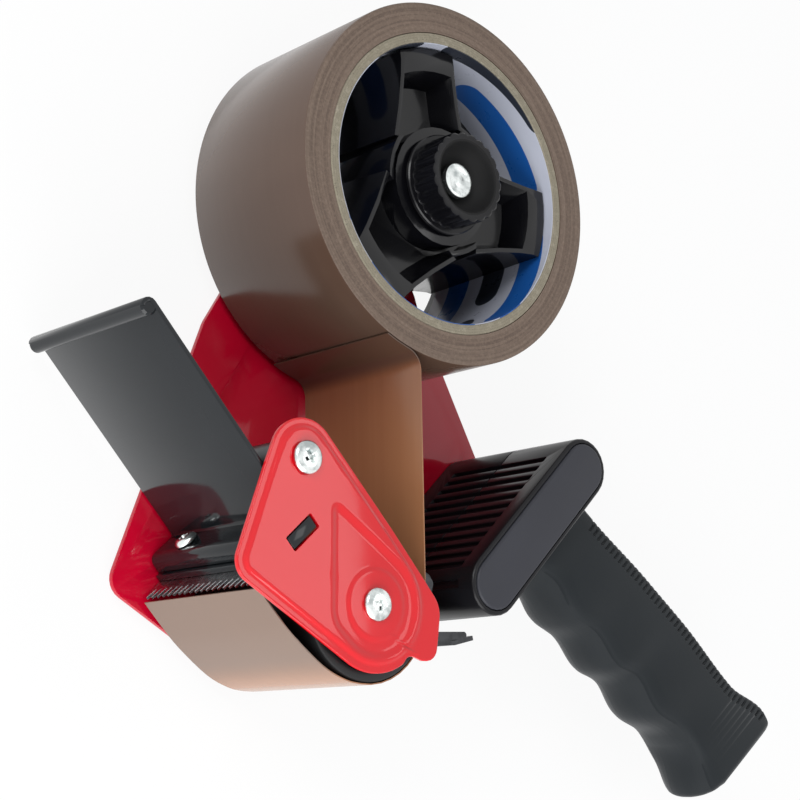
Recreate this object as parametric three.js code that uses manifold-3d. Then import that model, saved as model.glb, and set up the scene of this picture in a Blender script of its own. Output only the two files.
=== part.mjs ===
// Handheld tape dispenser with a pistol grip, in millimetres, +Z up.
// It lies on its far side plate: X runs toward the grip, Y toward the tape roll, Z along the axles.
// Each sub-part is worked out from the roll's axis; the whole group is then set on its base.
import * as THREE from 'three';
import { mergeVertices } from 'three/addons/utils/BufferGeometryUtils.js';
import Module from 'manifold-3d';

// Clearances
const overrun = 2;
const seatGap = 0.1;
const pressGap = 0.15;
const runGap = 0.3;
const boltGap = 0.25;

// Facets of round pieces
const fineFacets = 54;
const midFacets = 30;
const smallFacets = 16;
const cornerFacets = 6;
const wireSides = 5;
const wireSteps = 8;

// Tape roll
const tapeWidth = 48;
const tapeStart = 2;
const tapeEnd = tapeStart + tapeWidth;
const coreBoreRadius = 38.1;
const coreWall = 2.9;
const windingDepth = 8.15;
const tapeEdge = 0.4;
const stripGauge = 0.3;
const nearTapeGap = 2.8;

// Side plates
const innerWidth = tapeEnd + nearTapeGap;
const frameGauge = 1.5;
const frontGauge = 1.2;
const hubLobeRadius = 19;
const shoulderX = -34.8;
const shoulderY = -39.9;
const shoulderLobeRadius = 10;
const cornerX = -64.4;
const cornerY = -105.6;
const cornerLobeRadius = 5.6;
const rollerLobeRadius = 16.5;
const spacerLobeRadius = 9.8;
const joggleDepth = 1.2;
const rimDrop = 0.8;
const rimFace = innerWidth - rimDrop;
const rimWidth = 1.9;
const rimSlope = 0.9;
const dishRadius = 14.2;
const dishApexRadius = 1.2;
const dishApexX = -40.6;
const dishApexY = -92.4;
const dishHeelX = -34.6;
const dishHeelY = -115.2;
const dishHeelRadius = 7.2;
const dishSlope = 1.6;
const seatRadius = 8;
const seatSlope = 1;
const seatRise = 0.35;
const cheekX = -14.9;
const cheekY = -115.2;
const cheekRadius = 7.2;
const toothX = -12.1;
const toothY = -123.1;
const toothRadius = 3.5;
const toothWidth = 5;
const toothNotchX = -17;
const toothNotchY = -128.1;
const toothNotchRadius = 2.5;

// Roller and spacer axes
const rollerX = -28.6;
const rollerY = -113.7;
const rollerRadius = 18.5;
const rollerStart = 1.2;
const rollerEnd = rimFace - rollerStart;
const sleeveWall = 2.4;
const rollerWall = 2.2;
const rollerHubWall = 2.6;
const rollerRecess = 9;
const rollerShaftRadius = 4;
const bushWall = 1.3;
const bushLength = 6;
const bushFlange = 0.7;
const bushFlangeWidth = 2.2;
const spacerX = -50.8;
const spacerY = -80.2;
const spacerRadius = 5.4;

// Machine screws
const headRadius = 4.5;
const headHeight = 1.7;
const lowHeadHeight = 0.9;
const threadRadius = 2;
const threadReach = 11;
const recessWidth = 1.1;
const recessSpan = 5.2;
const recessDepth = 1;
const crownShare = 0.72;
const shoulderShare = 0.9;
const faceShare = 0.6;

// Roll hub
const armBearingsDeg = [99, 231, 355];
const spreadShares = [[0.34, 1.56], [0.57, 1.28], [0.78, 1.08], [0.9, 1]];
const straightShares = [[0.34, 0.93], [0.57, 0.88], [0.78, 0.88], [0.9, 0.9]];
const armSides = [
  [straightShares, spreadShares], [spreadShares, spreadShares], [spreadShares, straightShares],
];
const armGap = 0.6;
const armReach = coreBoreRadius - armGap;
const armHalfWidth = 10;
const armDraft = 2;
const armCornerRadius = 3;
const barrelRadius = 19;
const barrelDraft = 1.2;
const hubInset = 1;
const hubDrop = 3;
const hubFoot = tapeStart + hubInset;
const hubTop = tapeEnd - hubDrop;
const shoeWall = 6.1;
const lipRadius = armReach - shoeWall;
const wellDepth = 8;
const wellWall = 1.2;
const wellSlope = 2.6;
const bossRadius = 16.2;
const bossDrop = 1;
const springBoreRadius = 9;
const springBoreDepth = 15;
const springBoreFloor = hubTop - springBoreDepth;
const hubUndercutRadius = 14;
const hubWebDepth = 6;
const hubUndercutHeight = springBoreFloor - hubWebDepth;
const hubWebRadius = 8.4;

// Axle and brake
const axleRadius = 4;
const axleHeadRadius = 7.5;
const axleCollarRadius = 7;
const axleCollar = 1.1;
const axleReach = 4.4;
const axleTip = hubTop + axleReach;
const axleEndRadius = 4.75;
const axleEndHeight = 1.6;
const frictionRadius = 8;
const frictionGauge = 0.9;
const brakeWireRadius = 0.7;
const brakeCoilRadius = 6.6;
const brakeTurns = 7;
const thrustRadius = 8.5;
const thrustGauge = 1;
const knobSink = 0.05;
const knobHeight = 9.45;
const knobBase = hubTop - knobSink;
const knobTop = knobBase + knobHeight;
const knobRadius = 12.2;
const knobSkirtRadius = 13.6;
const knobSkirt = 1.4;
const knobScallop = 0.55;
const knobLobes = 22;
const knobLobeSteps = 3;
const bowlRadius = 9.6;
const bowlRise = 3.25;
const bowlFloor = knobBase + bowlRise;
const bowlFloorRadius = 7;
const knobSpigotRadius = 7.4;
const knobRound = 0.6;

// Blade head, on a frame turned from the part's axes
const headX = -52.8;
const headY = -93.8;
const headTurnDeg = -47.5;
const wiperLength = 62;
const wiperGauge = 1.2;
const wiperStart = 0.6;
const wiperEndGap = 0.4;
const wiperEnd = rimFace - wiperEndGap;
const wiperCurl = 1.6;
const wiperCurlDeg = 234;
const flangeReach = 9.5;
const lipDrop = 4.6;
const wiperBend = 1.5;
const wiperScrewInset = 11.4;
const wiperScrewReach = 4.3;
const wiperHeadRadius = 3.35;
const bracketTop = 3.1;
const bracketGauge = 1.8;
const bracketHem = 1.6;
const bracketBack = -2.5;
const bracketLeafReach = 7.9;
const bracketHemBack = 2.2;
const bracketReach = 10.6;
const bracketEndGap = 0.4;
const tabWidth = 9;
const tabGap = 0.35;
const threadBossRadius = 3.2;
const bladeGauge = 0.7;
const bladeBack = 3.4;
const bladeRoot = 14;
const toothHeight = 3.4;
const toothPitch = 2.37;
const toothLean = 0.7;

// Handle box, on a frame turned to run along it
const boxTurnDeg = 45;
const boxOffset = 85.65;
const boxHigh = -15.15;
const boxLow = -63.25;
const boxRadius = 8.35;
const boxWall = 2.5;
const boxEndGap = 3.1;
const boxEnd = rimFace - boxEndGap;
const boxSeamShare = 0.505;
const boxSeam = boxEnd * boxSeamShare;
const boxPadRadius = 9;
const boxPadLead = 1.05;
const capRim = 1.3;
const capGauge = 2.4;
const capProud = 0.5;
const grooveCount = 12;
const grooveFirst = -20.3;
const groovePitch = 3.97;
const grooveWidth = 2;
const grooveDepth = 1.1;
const grooveStart = 5.5;
const grooveEndInset = 5.9;
const grooveEnd = boxEnd - grooveEndInset;
const endGrooveDeg = 45;
const boxBossRadius = 3.6;
const handleScrewReach = 18;

// Grip, on a frame that runs down it from the box
const gripAlong = -9.2;
const gripOut = 18.85;
const gripTurnDeg = -37.5;
const gripLength = 108.5;
const gripHead = -10.2;
const gripDepth = 28.4;
const gripHalfWidth = 11;
const gripMidplane = tapeEnd / 2;
const gripHeadSlantShare = -0.131;
const gripButtSlantShare = -0.265;
const gripButtRound = 3;
const gripSkin = 2.2;
const gripCoreGap = 0.5;
const gripRings = 34;
const gripCoreRings = 8;
const gripArcSteps = 5;
const gripStrapReach = 4.5;
const gripStrapShare = 0.7;
const gripNoseShare = 0.78;
const gripCrease = 0.5;
const gripCoreShare = 0.95;

// Retaining lever
const leverX = -5.2;
const leverY = -106.5;
const leverPinRadius = 1.6;
const leverPinHead = 1;
const leverGauge = 1.2;
const leverStart = 6;
const leverEnd = tapeEnd - leverStart;
const leverPinProud = 2;
const leverPinTip = leverEnd + leverPinProud;
const leverHeelX = -1.8;
const leverHeelY = -13.7;
const leverHeelRadius = 1.6;
const leverEyeDeg = [-100, 180];
const leverHeelDeg = [180, 276];
const leverBendX = 10.8;
const leverBendY = -14.3;
const leverTipX = 17.1;
const leverTipY = -12.75;
const leverCheekRadius = 3.3;
const leverWallX = 14;
const leverWallY = -12.2;
const leverWallRadius = 0.9;
const leverWireRadius = 0.4;
const leverTurns = 4;

// Tape path between the roll, the roller and the teeth
const peelBearingDeg = 252.5;
const peelWrapDeg = 9;
const peelBend = 5.5;
const stripSteps = 10;
const tailLiftDeg = 96;

// Finish of each material
const finishes = {
  brightRed: { color: 0xe2323c, roughness: 0.3, metalness: 0.1 },
  deepRed: { color: 0xa8142f, roughness: 0.32, metalness: 0.1 },
  zinc: { color: 0xc8cccf, roughness: 0.3, metalness: 0.9 },
  steel: { color: 0x9a9da0, roughness: 0.35, metalness: 0.9 },
  springSteel: { color: 0x77797c, roughness: 0.35, metalness: 0.9 },
  blackSheet: { color: 0x37393c, roughness: 0.45, metalness: 0.2 },
  darkSteel: { color: 0x3c3e41, roughness: 0.4, metalness: 0.5 },
  blackPlastic: { color: 0x17181a, roughness: 0.3, metalness: 0 },
  boxPlastic: { color: 0x232427, roughness: 0.4, metalness: 0 },
  softRubber: { color: 0x2a2f32, roughness: 0.65, metalness: 0 },
  rollerRubber: { color: 0x1b1b1c, roughness: 0.6, metalness: 0 },
  brownTape: { color: 0x6b4a32, roughness: 0.25, metalness: 0 },
  cardboard: { color: 0xa89d86, roughness: 0.9, metalness: 0 },
  fibre: { color: 0x6d5a48, roughness: 0.9, metalness: 0 },
};

const wasm = await Module();
wasm.setup();

// Welds a geometry's corners, drops collapsed facets and turns its faces outward.
function closedSkin(geometry) {
  const bare = geometry.clone();
  bare.deleteAttribute('normal');
  bare.deleteAttribute('uv');
  const welded = mergeVertices(bare);
  const corner = welded.index.array;
  const place = welded.attributes.position;
  const [a, b, c] = [new THREE.Vector3(), new THREE.Vector3(), new THREE.Vector3()];
  const kept = [];
  let volume = 0;
  for (let i = 0; i < corner.length; i += 3) {
    const [p, q, r] = [corner[i], corner[i + 1], corner[i + 2]];
    if (p === q || q === r || r === p) continue;
    kept.push(p, q, r);
    a.fromBufferAttribute(place, p);
    b.fromBufferAttribute(place, q);
    c.fromBufferAttribute(place, r);
    volume += a.dot(b.cross(c));
  }
  if (volume < 0) kept.reverse();
  welded.setIndex(kept);
  return welded;
}

function toSolid(geometry) {
  const skin = closedSkin(geometry);
  return new wasm.Manifold(new wasm.Mesh({
    numProp: 3,
    vertProperties: new Float32Array(skin.attributes.position.array),
    triVerts: new Uint32Array(skin.index.array),
  }));
}

function toGeometry(solid) {
  const mesh = solid.getMesh();
  const geometry = new THREE.BufferGeometry();
  geometry.setAttribute('position', new THREE.BufferAttribute(new Float32Array(mesh.vertProperties), 3));
  geometry.setIndex(new THREE.BufferAttribute(new Uint32Array(mesh.triVerts), 1));
  return geometry;
}

// Joins every addition to the base, then takes every cutter away.
function carve(base, additions, cutters) {
  let solid = toSolid(base);
  for (const addition of additions) solid = solid.add(toSolid(addition));
  for (const cutter of cutters) solid = solid.subtract(toSolid(cutter));
  return toGeometry(solid);
}

function common(first, second) {
  return toGeometry(toSolid(first).intersect(toSolid(second)));
}

const radians = THREE.MathUtils.degToRad;

function polar(radius, angle) {
  return new THREE.Vector2(radius * Math.cos(angle), radius * Math.sin(angle));
}

// Rounded outline drawn anticlockwise round a chain of discs, each { x, y, r }, shrunk by an inset.
function discOutline(discs, inset = 0, steps = cornerFacets) {
  const bearings = discs.map((disc, i) => {
    const next = discs[(i + 1) % discs.length];
    const span = new THREE.Vector2(next.x - disc.x, next.y - disc.y);
    return span.angle() - Math.acos((disc.r - next.r) / span.length());
  });
  return discs.flatMap((disc, i) => {
    const from = bearings[(i + discs.length - 1) % discs.length];
    let sweep = bearings[i] - from;
    while (sweep < 0) sweep += 2 * Math.PI;
    while (sweep > 2 * Math.PI) sweep -= 2 * Math.PI;
    return Array.from({ length: steps + 1 }, (_, k) => {
      const spoke = polar(disc.r - inset, from + sweep * k / steps);
      return new THREE.Vector2(disc.x + spoke.x, disc.y + spoke.y);
    });
  });
}

// Skin through rings of equal point counts, each { outline, z }, flat at both ends.
function loft(rings) {
  const count = rings[0].outline.length;
  const places = rings.flatMap(({ outline, z }) => (
    outline.flatMap((p, i) => [p.x, p.y, Array.isArray(z) ? z[i] : z])
  ));
  const corners = [];
  for (let r = 0; r < rings.length - 1; r += 1) {
    for (let i = 0; i < count; i += 1) {
      const [a, b] = [r * count + i, r * count + (i + 1) % count];
      corners.push(a, b, b + count, a, b + count, a + count);
    }
  }
  const top = (rings.length - 1) * count;
  for (const [p, q, r] of THREE.ShapeUtils.triangulateShape(rings[0].outline, [])) corners.push(p, r, q);
  for (const [p, q, r] of THREE.ShapeUtils.triangulateShape(rings[rings.length - 1].outline, [])) {
    corners.push(top + p, top + q, top + r);
  }
  const geometry = new THREE.BufferGeometry();
  geometry.setAttribute('position', new THREE.Float32BufferAttribute(places, 3));
  geometry.setIndex(corners);
  return geometry;
}

function prism(outline, from, to) {
  return loft([{ outline, z: from }, { outline, z: to }]);
}

// Solid of revolution about Z from [radius, height] pairs.
function turned(profile, facets = midFacets) {
  const points = profile.map(([radius, height]) => new THREE.Vector2(radius, height));
  return new THREE.LatheGeometry(points, facets).rotateX(Math.PI / 2);
}

// Ring with a bore, chamfered by an edge width.
function ring(bore, radius, from, to, edge = 0, facets = midFacets) {
  return turned([
    [bore, from], [radius - edge, from], [radius, from + edge],
    [radius, to - edge], [radius - edge, to], [bore, to], [bore, from],
  ], facets);
}

function rod(radius, from, to, facets = smallFacets) {
  return turned([[0, from], [radius, from], [radius, to], [0, to]], facets);
}

function block(x0, x1, y0, y1, z0, z1) {
  return new THREE.BoxGeometry(x1 - x0, y1 - y0, z1 - z0)
    .translate((x0 + x1) / 2, (y0 + y1) / 2, (z0 + z1) / 2);
}

// Closed outline of a sheet that follows a bent centre line.
function sheetOutline(path, gauge) {
  const normals = path.map((point, i) => {
    const before = path[Math.max(i - 1, 0)];
    const after = path[Math.min(i + 1, path.length - 1)];
    const inward = point.clone().sub(i ? before : point).normalize();
    const outward = after.clone().sub(i < path.length - 1 ? point : after).normalize();
    const along = inward.add(outward).normalize();
    const edge = i < path.length - 1 ? after.clone().sub(point).normalize() : along;
    const stretch = 1 / Math.max(Math.abs(along.dot(edge)), Math.SQRT1_2);
    return new THREE.Vector2(-along.y, along.x).multiplyScalar(stretch * gauge / 2);
  });
  const left = path.map((point, i) => point.clone().add(normals[i]));
  const right = path.map((point, i) => point.clone().sub(normals[i])).reverse();
  const outline = [...left, ...right];
  return THREE.ShapeUtils.isClockWise(outline) ? outline.reverse() : outline;
}

// Points along an arc about a centre, both ends included.
function arcPath(centre, radius, from, to, steps) {
  return Array.from({ length: steps + 1 }, (_, k) => (
    polar(radius, from + (to - from) * k / steps).add(centre)
  ));
}

// Round wire wound about Z at a steady pitch, its ends cut square to the wire.
function coil(radius, wire, from, to, turns) {
  class Helix extends THREE.Curve {
    getPoint(share) {
      const turn = 2 * Math.PI * turns * share;
      return new THREE.Vector3(radius * Math.cos(turn), radius * Math.sin(turn), from + (to - from) * share);
    }
  }
  const steps = turns * wireSteps;
  const curve = new Helix();
  const rings = [];
  for (let k = 0; k <= steps; k += 1) {
    const centre = curve.getPoint(k / steps);
    const out = new THREE.Vector3(centre.x, centre.y, 0).normalize();
    const tangent = curve.getTangent(k / steps);
    const up = new THREE.Vector3().crossVectors(tangent, out).normalize();
    for (let s = 0; s < wireSides; s += 1) {
      const spoke = polar(wire, 2 * Math.PI * s / wireSides);
      rings.push(centre.clone().addScaledVector(out, spoke.x).addScaledVector(up, spoke.y));
    }
  }
  const corners = [];
  for (let k = 0; k < steps; k += 1) {
    for (let s = 0; s < wireSides; s += 1) {
      const [a, b] = [k * wireSides + s, k * wireSides + (s + 1) % wireSides];
      corners.push(a, b, b + wireSides, a, b + wireSides, a + wireSides);
    }
  }
  for (let s = 1; s < wireSides - 1; s += 1) {
    corners.push(0, s + 1, s);
    corners.push(steps * wireSides, steps * wireSides + s, steps * wireSides + s + 1);
  }
  return new THREE.BufferGeometry().setFromPoints(rings).setIndex(corners);
}

const dispenser = new THREE.Group();
const boxFrame = new THREE.Group();
boxFrame.rotation.z = radians(boxTurnDeg);
const gripFrame = new THREE.Group();
gripFrame.position.set(gripAlong, -boxOffset - gripOut, gripMidplane);
gripFrame.rotation.z = radians(gripTurnDeg - boxTurnDeg);
boxFrame.add(gripFrame);
const headFrame = new THREE.Group();
headFrame.position.set(headX, headY, 0);
headFrame.rotation.z = radians(headTurnDeg);
dispenser.add(boxFrame, headFrame);
dispenser.updateMatrixWorld(true);

function place(name, geometry, finish, parent = dispenser, x = 0, y = 0, z = 0) {
  const mesh = new THREE.Mesh(closedSkin(geometry), new THREE.MeshStandardMaterial(finishes[finish]));
  mesh.name = name;
  mesh.position.set(x, y, z);
  parent.add(mesh);
  return mesh;
}

const rollRadius = coreBoreRadius + coreWall + pressGap + windingDepth;
const boxFloor = -joggleDepth;
const sheetFoot = -joggleDepth - frameGauge;
const headPlane = sheetFoot - seatGap - lowHeadHeight;
const [boxHighPlace, boxLowPlace, highPad] = [boxHigh, boxLow, boxHigh + boxPadLead].map((along) => (
  new THREE.Vector2(along, -boxOffset).rotateAround(new THREE.Vector2(), radians(boxTurnDeg))
));
const bladeFrame = headFrame.matrixWorld;

// Frame plate
// The border behind the handle box steps away from the roll; shares are of the box's offset.
function framePlate() {
  const outline = discOutline([
    { x: 0, y: 0, r: hubLobeRadius },
    { x: shoulderX, y: shoulderY, r: shoulderLobeRadius },
    { x: cornerX, y: cornerY, r: cornerLobeRadius },
    { x: rollerX, y: rollerY, r: rollerLobeRadius },
    { x: boxLowPlace.x, y: boxLowPlace.y, r: boxPadRadius },
    { x: highPad.x, y: highPad.y, r: boxPadRadius },
  ]);
  const upperShares = [[0.4, -0.09], [0.293, -0.324], [0.384, -0.488], [0.506, -0.669], [0.399, -0.799],
    [-0.15, -1.249], [-0.208, -1.6], [1.2, -1.6], [1.2, -0.09]];
  const lowerShares = [[0.45, -0.13], [0.351, -0.345], [0.443, -0.509], [0.575, -0.65], [0.411, -0.841],
    [-0.103, -1.258], [-0.161, -1.6], [1.2, -1.6], [1.2, -0.13]];
  const scaled = (shares) => (
    shares.map(([x, y]) => new THREE.Vector2(x, y).multiplyScalar(boxOffset)).reverse()
  );
  const upper = scaled(upperShares);
  const lower = scaled(lowerShares);
  if (THREE.ShapeUtils.isClockWise(upper)) {
    upper.reverse();
    lower.reverse();
  }
  const step = loft([
    { outline: lower, z: -joggleDepth },
    { outline: upper, z: 0 },
    { outline: upper, z: overrun },
  ]);
  const backing = loft([
    { outline: lower, z: sheetFoot },
    { outline: upper, z: -frameGauge },
    { outline: upper, z: -joggleDepth / 2 },
  ]);
  const holes = [
    rod(axleRadius + boltGap, sheetFoot - overrun, overrun),
    rod(threadRadius + boltGap, sheetFoot - overrun, overrun).translate(rollerX, rollerY, 0),
    rod(threadRadius + boltGap, sheetFoot - overrun, overrun).translate(spacerX, spacerY, 0),
    rod(leverPinRadius + boltGap, sheetFoot - overrun, overrun).translate(leverX, leverY, 0),
    rod(threadRadius + boltGap, sheetFoot - overrun, overrun).translate(boxHighPlace.x, boxHighPlace.y, 0),
    rod(threadRadius + boltGap, sheetFoot - overrun, overrun).translate(boxLowPlace.x, boxLowPlace.y, 0),
    tabSlot(-frameGauge - overrun, overrun),
  ];
  const backed = common(backing, prism(outline, sheetFoot, -joggleDepth / 2));
  return carve(prism(outline, -frameGauge, 0), [backed], [step, ...holes]);
}

// Opening that takes a tab of the cross bracket.
function tabSlot(from, to) {
  return block(
    bracketTop - tabGap, bracketTop + bracketGauge + tabGap,
    -bracketBack - tabWidth - tabGap, -bracketBack + tabGap, from, to,
  ).applyMatrix4(bladeFrame);
}

// Front side plate
// Its field stands proud of a lowered rim, and a teardrop dish brings it down to the roller's end.
function frontPlate() {
  const lobes = [
    { x: spacerX, y: spacerY, r: spacerLobeRadius },
    { x: cornerX, y: cornerY, r: cornerLobeRadius },
    { x: rollerX, y: rollerY, r: rollerLobeRadius },
  ];
  const edge = (inset) => discOutline(lobes, inset, 2 * cornerFacets);
  const rimTop = rimFace + frontGauge;
  const sheet = loft([
    { outline: edge(rimWidth + rimSlope + rimDrop / 2), z: innerWidth },
    { outline: edge(rimWidth + rimDrop / 2), z: rimFace },
    { outline: edge(0), z: rimFace },
    { outline: edge(0), z: rimTop },
    { outline: edge(rimWidth), z: rimTop },
    { outline: edge(rimWidth + rimSlope), z: innerWidth + frontGauge },
  ]);
  const drop = (inset) => discOutline([
    { x: dishApexX, y: dishApexY, r: dishApexRadius },
    { x: dishHeelX, y: dishHeelY, r: dishHeelRadius },
    { x: rollerX, y: rollerY, r: dishRadius - rimWidth },
  ], inset, cornerFacets);
  const dishUnder = loft([
    { outline: drop(dishSlope / 2), z: rimFace },
    { outline: drop(0), z: innerWidth },
    { outline: drop(0), z: innerWidth + frontGauge / 2 },
  ]);
  const dish = loft([
    { outline: drop(dishSlope / 2), z: rimTop },
    { outline: drop(-dishSlope / 2), z: innerWidth + frontGauge },
    { outline: drop(-dishSlope / 2), z: innerWidth + frontGauge + overrun },
  ]);
  const cheek = { x: cheekX, y: cheekY, r: cheekRadius };
  const shoulder = prism(discOutline([lobes[2], cheek]), rimFace, rimTop);
  const tooth = prism(discOutline([
    { x: toothX, y: toothY, r: toothRadius },
    cheek,
    { x: toothX - toothWidth, y: toothY, r: toothRadius },
  ]), rimFace, rimTop);
  const seat = turned([
    [0, rimFace + frontGauge / 2], [seatRadius + seatSlope, rimFace + frontGauge / 2],
    [seatRadius + seatSlope, rimTop], [seatRadius, rimTop + seatRise], [0, rimTop + seatRise],
  ], 2 * smallFacets).translate(rollerX, rollerY, 0);
  const dished = carve(sheet, [dishUnder, shoulder, tooth], [dish]);
  return carve(dished, [seat], [
    rod(toothNotchRadius, rimFace - overrun, rimTop + overrun).translate(toothNotchX, toothNotchY, 0),
    rod(threadRadius + boltGap, rimFace - overrun, rimTop + overrun).translate(rollerX, rollerY, 0),
    rod(threadRadius + boltGap, rimFace - overrun, innerWidth + overrun).translate(spacerX, spacerY, 0),
    tabSlot(rimFace - overrun, innerWidth + frontGauge + overrun),
  ]);
}

// Cross-recess screw whose head rises from its seat at height 0 and whose shank hangs below it.
function screw(height, reach, radius = headRadius) {
  const crown = height * crownShare;
  const body = turned([
    [0, -reach], [threadRadius, -reach], [threadRadius, 0], [radius, 0], [radius, crown / 2],
    [radius * shoulderShare, crown], [radius * faceShare, height], [0, height],
  ], smallFacets);
  const floor = height - Math.min(recessDepth, height / 2);
  const [half, side] = [recessSpan / 2, recessWidth / 2];
  const slot = block(-half, half, -side, side, floor, height + overrun);
  return carve(body, [], [slot, slot.clone().rotateZ(Math.PI / 2)]);
}

// Three-armed roll hub
// The sides that face the narrow gap run straight, the others spread toward the barrel.
function armOutline(arm, spread, inset) {
  const reach = armReach + overrun;
  const sides = armSides[arm].map((shares) => {
    const flank = shares.map(([along, half]) => (
      new THREE.Vector2(along * armReach, half * armHalfWidth + spread - inset)
    ));
    const end = flank[flank.length - 1].y;
    const turn = new THREE.Vector2(reach - armCornerRadius, end - armCornerRadius);
    return [...flank, ...arcPath(turn, armCornerRadius, Math.PI / 2, 0, cornerFacets / 2)];
  });
  const lower = sides[0].map((point) => new THREE.Vector2(point.x, -point.y));
  return [...lower, ...sides[1].reverse()].map((point) => (
    point.rotateAround(new THREE.Vector2(), radians(armBearingsDeg[arm]))
  ));
}

function hub() {
  const arms = armBearingsDeg.map((_, arm) => loft([
    { outline: armOutline(arm, armDraft, 0), z: hubFoot },
    { outline: armOutline(arm, 0, 0), z: hubTop },
  ]));
  const wells = armBearingsDeg.map((_, arm) => loft([
    { outline: armOutline(arm, 0, wellWall + wellSlope), z: hubTop - wellDepth },
    { outline: armOutline(arm, 0, wellWall), z: hubTop },
    { outline: armOutline(arm, 0, wellWall), z: hubTop + overrun },
  ]));
  const wellZone = turned([
    [bossRadius, hubTop + overrun * 2], [bossRadius, hubTop - wellDepth * 2],
    [lipRadius - wellSlope * 2, hubTop - wellDepth * 2], [lipRadius, hubTop],
    [lipRadius, hubTop + overrun * 2], [bossRadius, hubTop + overrun * 2],
  ], fineFacets);
  const shoeCut = rod(armReach, hubFoot, hubTop, fineFacets);
  const barrel = turned([
    [0, hubFoot], [barrelRadius + barrelDraft, hubFoot], [barrelRadius, hubTop], [0, hubTop],
  ], fineFacets);
  const groove = turned([
    [bossRadius, hubTop + overrun], [bossRadius, hubTop - wellDepth],
    [barrelRadius - wellWall, hubTop - wellDepth], [barrelRadius - wellWall, hubTop + overrun],
    [bossRadius, hubTop + overrun],
  ]);
  const bossTrim = rod(bossRadius + runGap, hubTop - bossDrop, hubTop + overrun, midFacets);
  const bore = rod(axleRadius + runGap, hubFoot - overrun, hubTop + overrun);
  const springBore = rod(springBoreRadius, springBoreFloor, hubTop + overrun, midFacets);
  const undercut = turned([
    [hubWebRadius, hubFoot - overrun], [hubUndercutRadius, hubFoot - overrun],
    [hubUndercutRadius, hubUndercutHeight], [hubWebRadius, hubUndercutHeight],
    [hubWebRadius, hubFoot - overrun],
  ]);
  const spread = arms.reduce((whole, arm) => carve(whole, [arm], []), barrel);
  const pockets = wells.map((well) => common(well, wellZone));
  return carve(common(spread, shoeCut), [], [...pockets, groove, bossTrim, bore, springBore, undercut]);
}

// Scalloped brake knob with a bowl round the axle's end
function knob() {
  const lobes = (radius, scallop) => {
    const steps = knobLobes * knobLobeSteps;
    return Array.from({ length: steps }, (_, i) => {
      const angle = 2 * Math.PI * i / steps;
      return polar(radius - scallop * (1 - Math.abs(Math.cos(knobLobes * angle / 2))), angle);
    });
  };
  const body = loft([
    { outline: lobes(knobSkirtRadius, 0), z: knobBase },
    { outline: lobes(knobSkirtRadius, 0), z: knobBase + knobSkirt },
    { outline: lobes(knobRadius - knobRound, knobScallop / 2), z: knobBase + knobSkirt + knobRound },
    { outline: lobes(knobRadius, knobScallop), z: knobTop - knobRound },
    { outline: lobes(knobRadius - knobRound, knobScallop), z: knobTop },
  ]);
  const washerFace = hubTop - bossDrop;
  const spigot = rod(knobSpigotRadius, washerFace + seatGap, knobBase + knobSkirt, midFacets);
  const bowl = turned([
    [0, bowlFloor], [bowlFloorRadius, bowlFloor], [bowlRadius - knobRound, bowlFloor + knobRound * 2],
    [bowlRadius, knobTop - knobRound], [bowlRadius + knobRound, knobTop],
    [bowlRadius + knobRound, knobTop + overrun], [0, knobTop + overrun],
  ]);
  return carve(body, [spigot], [bowl, rod(axleRadius + runGap, knobBase - overrun, knobTop, midFacets)]);
}

// Wiper
// One sheet: a blade-wide plate with a curled top edge, turned out into a flange with a folded lip.
function wiper() {
  const half = wiperGauge / 2;
  const quarter = Math.PI / 2;
  const curl = new THREE.Vector2(-wiperLength + wiperCurl, -wiperCurl + half);
  const corner = new THREE.Vector2(half - wiperBend, half - wiperBend);
  const fold = new THREE.Vector2(half + wiperBend, -flangeReach + half + wiperBend);
  const path = [
    ...arcPath(curl, wiperCurl, radians(wiperCurlDeg), quarter, cornerFacets),
    ...arcPath(corner, wiperBend, quarter, 0, cornerFacets),
    ...arcPath(fold, wiperBend, Math.PI, Math.PI + quarter, cornerFacets),
    new THREE.Vector2(lipDrop, -flangeReach + half),
  ];
  const sheet = prism(sheetOutline(path, wiperGauge), wiperStart, wiperEnd);
  const holes = wiperScrewPlaces().map((z) => (
    rod(threadRadius + boltGap, -overrun, overrun).rotateY(quarter).translate(0, -wiperScrewReach, z)
  ));
  return carve(sheet, [], holes);
}

function wiperScrewPlaces() {
  return [wiperStart + wiperScrewInset, wiperEnd - wiperScrewInset];
}

// Cross bracket
// A leaf under the flange, hemmed at the front, with threaded bosses and a tab into each side plate.
function crossBracket() {
  const from = bracketEndGap;
  const to = rimFace - bracketEndGap;
  const leafEnd = bracketTop + bracketGauge;
  const leaf = block(bracketTop, leafEnd + pressGap, -bracketLeafReach, -bracketBack, from, to);
  const hem = block(leafEnd, leafEnd + bracketHem, -bracketReach, -bracketHemBack, from, to);
  const tab = block(
    bracketTop, leafEnd, -bracketBack - tabWidth, -bracketBack - tabGap,
    -frameGauge + seatGap, innerWidth + frontGauge / 2,
  );
  const atScrews = (radius, low, high) => wiperScrewPlaces().map((z) => (
    rod(radius, low, high).rotateY(Math.PI / 2).translate(0, -wiperScrewReach, z)
  ));
  const bosses = atScrews(threadBossRadius, wiperGauge + seatGap, bracketTop + bracketGauge / 2);
  const bores = atScrews(threadRadius + boltGap, 0, leafEnd + bracketHem + overrun);
  return carve(leaf, [hem, tab, ...bosses], bores);
}

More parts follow.
